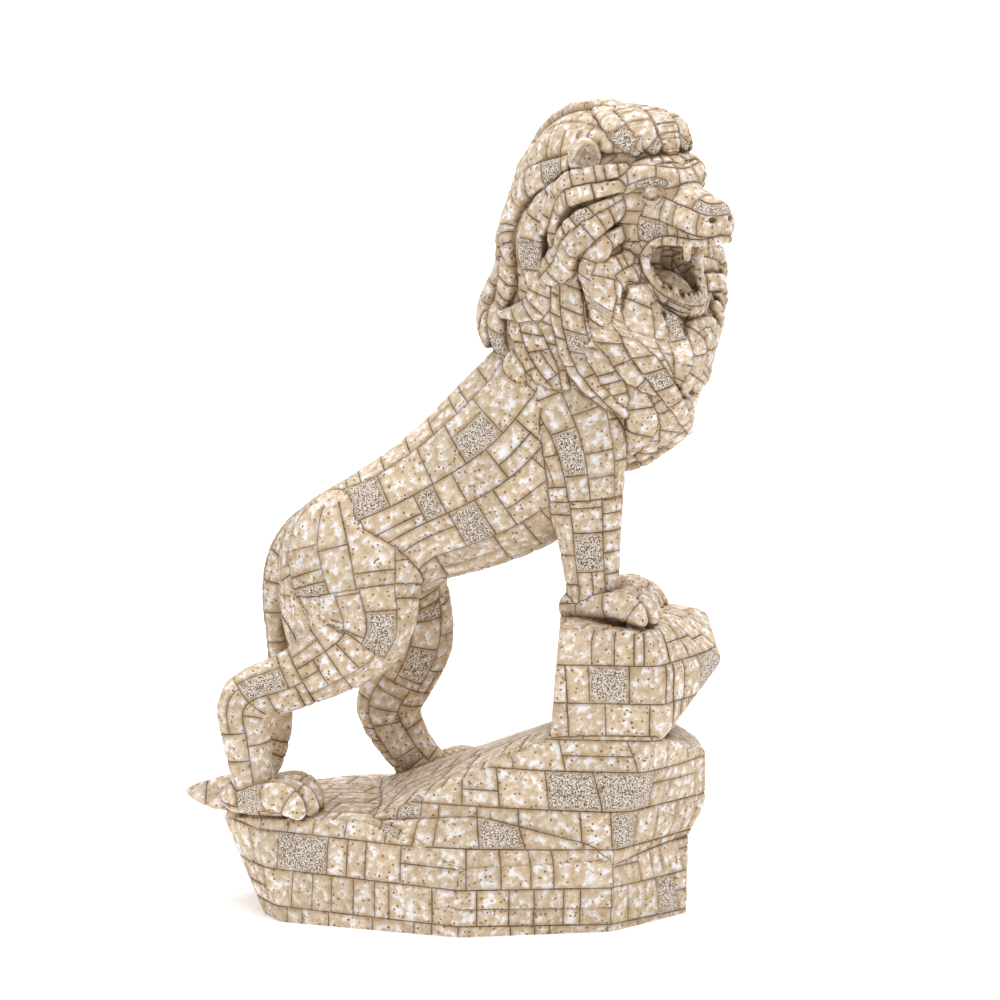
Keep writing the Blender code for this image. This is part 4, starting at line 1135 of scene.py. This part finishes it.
# ground colour: tan clouded with cream, lilac-white patches 2 to 5 mm wide; each block lighter or darker
clouds = node("TexNoise", {"Vector": place, "Scale": 0.33, "Detail": 5.0, "Roughness": 0.62})
drift = node("TexNoise", {"Vector": place, "Scale": 0.05, "Detail": 2.0})
cream = node("MapRange", {"Value": clouds, "From Min": 0.36, "From Max": 0.62})
colour = node("Mix", {"Factor": cream, "A": linear("#C1A887"), "B": linear("#DFCFB8")}, data_type="RGBA")
flecks = node("TexNoise", {"Vector": loose, "Scale": 0.33, "Detail": 4.0, "Roughness": 0.6})
chalk = node("MapRange", {"Value": flecks, "From Min": 0.51, "From Max": 0.63, "To Max": 0.88},
             interpolation_type="SMOOTHSTEP")
colour = node("Mix", {"Factor": chalk, "A": colour, "B": linear("#F2F0F4")}, data_type="RGBA")
tone = node("MapRange", {"Value": block, "To Min": 0.90, "To Max": 1.06})
colour = node("VectorMath", {0: colour, "Scale": tone}, operation="SCALE")

# rust specks 0.5 to 1.2 mm wide, and finer dark ones, in drifts
specks = node("TexVoronoi", {"Vector": loose, "Scale": 0.5})
draw = node("SeparateColor", {"Color": specks.outputs["Color"]})
crowd = node("MapRange", {"Value": drift, "From Min": 0.35, "From Max": 0.65, "To Min": 0.6, "To Max": 1.2})
size = node("Math", {0: crowd, 1: draw.outputs["Red"]}, operation="SUBTRACT")
size = node("MapRange", {"Value": size, "From Max": 0.5, "To Max": 0.29})
rust = node("Math", {0: size, 1: specks.outputs["Distance"]}, operation="SUBTRACT")
rust = node("MapRange", {"Value": rust, "From Min": -0.02, "From Max": 0.09, "To Max": 0.85})
colour = node("Mix", {"Factor": rust, "A": colour, "B": linear("#7A4635")}, data_type="RGBA")
grit = node("TexVoronoi", {"Vector": loose, "Scale": 0.95})
draw = node("SeparateColor", {"Color": grit.outputs["Color"]})
size = node("MapRange", {"Value": draw.outputs["Red"], "From Min": 0.45, "To Min": -0.1, "To Max": 0.30})
dark = node("Math", {0: size, 1: grit.outputs["Distance"]}, operation="SUBTRACT")
dark = node("MapRange", {"Value": dark, "From Min": -0.02, "From Max": 0.1, "To Max": 0.8})
colour = node("Mix", {"Factor": dark, "A": colour, "B": linear("#67432F")}, data_type="RGBA")

# pitted blocks: a cream crust eaten into worms and pits about 1 mm apart, the glaze dark between them
worms = node("TexNoise", {"Vector": place, "Scale": 1.9, "Detail": 1.0})
gaps = node("MapRange", {"Value": worms, "From Min": 0.54, "From Max": 0.42}, interpolation_type="SMOOTHSTEP")
grain_colour = node("Mix", {"Factor": gaps, "A": linear("#E6DBCD"), "B": linear("#684F37")}, data_type="RGBA")
inset = node("MapRange", {"Value": nearest, "From Min": 0.5, "From Max": 1.4, "To Max": 0.95})
pitting = node("Math", {0: pitted, 1: inset}, operation="MULTIPLY")
colour = node("Mix", {"Factor": pitting, "A": colour, "B": grain_colour}, data_type="RGBA")

# glaze: a line in each joint and a stain beside it; painted shade in the same brown where the cast is
# sheltered, and a darker painted shade where it is most shut in, most in the mouth
patchy = node("MapRange", {"Value": drift, "From Min": 0.3, "From Max": 0.7, "To Min": 0.6, "To Max": 1.0})
stain_and_shade = node("MapRange", {"Value": nearest, "From Min": 2.2, "From Max": 0.2, "To Max": 0.55},
             interpolation_type="SMOOTHSTEP")
stain_and_shade = node("Math", {0: stain_and_shade, 1: patchy}, operation="MULTIPLY")
# painted shade: brown where the cast is sheltered, kept where it is stronger than the stain beside the joints
hollow = node("MapRange", {"Value": shelter, "From Min": 0.22, "From Max": 0.85, "To Max": 0.8})
stain_and_shade = node("Math", {0: stain_and_shade, 1: hollow}, operation="MAXIMUM")
line = node("MapRange", {"Value": nearest, "From Min": 0.42, "From Max": 0.14})
line = node("Math", {0: line, 1: patchy}, operation="MULTIPLY")
# painted shade: the darkest brown where the cast is most shut in, most in the mouth
deep_shade = node("MapRange", {"Value": shelter, "From Min": 0.7, "To Max": 0.75})
# the stain's brown is both the glaze beside the joints and painted shade in the sheltered places
for share, brown in ((stain_and_shade, "#93744E"), (line, "#5D4429"), (deep_shade, "#4E3828")):
    colour = node("Mix", {"Factor": share, "A": colour, "B": linear(brown)}, data_type="RGBA")
links.new(colour.outputs[2], shader.inputs["Base Color"])

# relief finer than the mesh, in mm: sandy grain, the specks sunk 0.1, the pits of the pitted blocks 0.35
sand = node("TexNoise", {"Vector": place, "Scale": 1.6, "Detail": 3.0})
height = node("Math", {0: sand, 1: 0.12}, operation="MULTIPLY")
height = node("Math", {0: rust, 1: -0.1, 2: height}, operation="MULTIPLY_ADD")
raised = node("Math", {0: gaps, 1: pitting}, operation="MULTIPLY")
height = node("Math", {0: raised, 1: -0.35, 2: height}, operation="MULTIPLY_ADD")
bump = node("Bump", {"Height": height, "Distance": MM, "Strength": 0.7})
links.new(bump.outputs[0], shader.inputs["Normal"])
shader.inputs["Roughness"].default_value = 0.72
shader.inputs["Specular IOR Level"].default_value = 0.35
mesh.materials.append(stone)

# ======== the floor and the light
# Not part of the figure: a seamless sheet of matte white paper, swept up 1.6 m behind it in a bend 1 m in
# radius, under a large softbox to the right, a weaker one to the left and one that lights the paper.
PAPER_FRONT, PAPER_BACK, PAPER_SIDE, PAPER_BEND, PAPER_TOP = -3.0, 1.6, 3.5, 1.0, 4.0
turn = np.linspace(0, math.pi / 2, 13)
bend = np.stack([PAPER_BACK + PAPER_BEND * np.sin(turn), PAPER_BEND * (1 - np.cos(turn))], 1)
profile = np.concatenate([[(PAPER_FRONT, 0.0)], bend, [(PAPER_BACK + PAPER_BEND, PAPER_TOP)]])
sheet = [(x, y, z) for y, z in profile for x in (-PAPER_SIDE, PAPER_SIDE)]
floor_mesh = bpy.data.meshes.new("floor")
floor_mesh.from_pydata(sheet, [], [(2 * i, 2 * i + 1, 2 * i + 3, 2 * i + 2) for i in range(len(profile) - 1)])
floor_mesh.shade_smooth()
floor = placed("floor", floor_mesh)
white = bpy.data.materials.new("white_paper")    # matte, and a little brighter than these lamps make it
white.use_nodes = True
for name, value in (("Base Color", linear("#FFFFFF")), ("Roughness", 0.95), ("Specular IOR Level", 0.0),
                    ("Emission Color", linear("#FFFFFF")), ("Emission Strength", 0.22)):
    white.node_tree.nodes["Principled BSDF"].inputs[name].default_value = value
floor_mesh.materials.append(white)


def lamp(name, place, aim, width, watts):
    """A square softbox facing the point that it is aimed at."""
    data = bpy.data.lights.new(name, "AREA")
    data.size = width
    data.energy = watts
    thing = placed(name, data)
    thing.location = place
    thing.rotation_euler = (Vector(aim) - Vector(place)).to_track_quat("-Z", "Y").to_euler()


lamp("key", (0.55, -0.9, 2.1), (0, 0, 0.15), 1.1, 17.5)
lamp("fill", (-1.5, -1.3, 0.7), (0, 0, 0.15), 1.4, 3.5)
lamp("backdrop", (0, 0.6, 2.4), (0, 2.2, 0.6), 2.0, 60)
world = bpy.data.worlds.new("studio")
world.use_nodes = True
world.node_tree.nodes["Background"].inputs[0].default_value = (1, 1, 1, 1)
world.node_tree.nodes["Background"].inputs[1].default_value = 0.46
bpy.context.scene.world = world

# ======== the camera
# level with the lion's flank and 10 degrees above it, 2 m away: a long lens that hardly narrows with distance
target = (Vector((10.0, 0.0, 163.3)) - Vector(CENTRE)) * MM
above, away = math.radians(10), 2.0
camera_data = bpy.data.cameras.new("camera")
camera_data.sensor_width = 36
camera_data.lens = 180
camera = placed("camera", camera_data)
camera.location = target + away * Vector((0, -math.cos(above), math.sin(above)))
camera.rotation_euler = (math.pi / 2 - above, 0, 0)
bpy.context.scene.camera = camera
bpy.context.scene.view_settings.view_transform = "Standard"
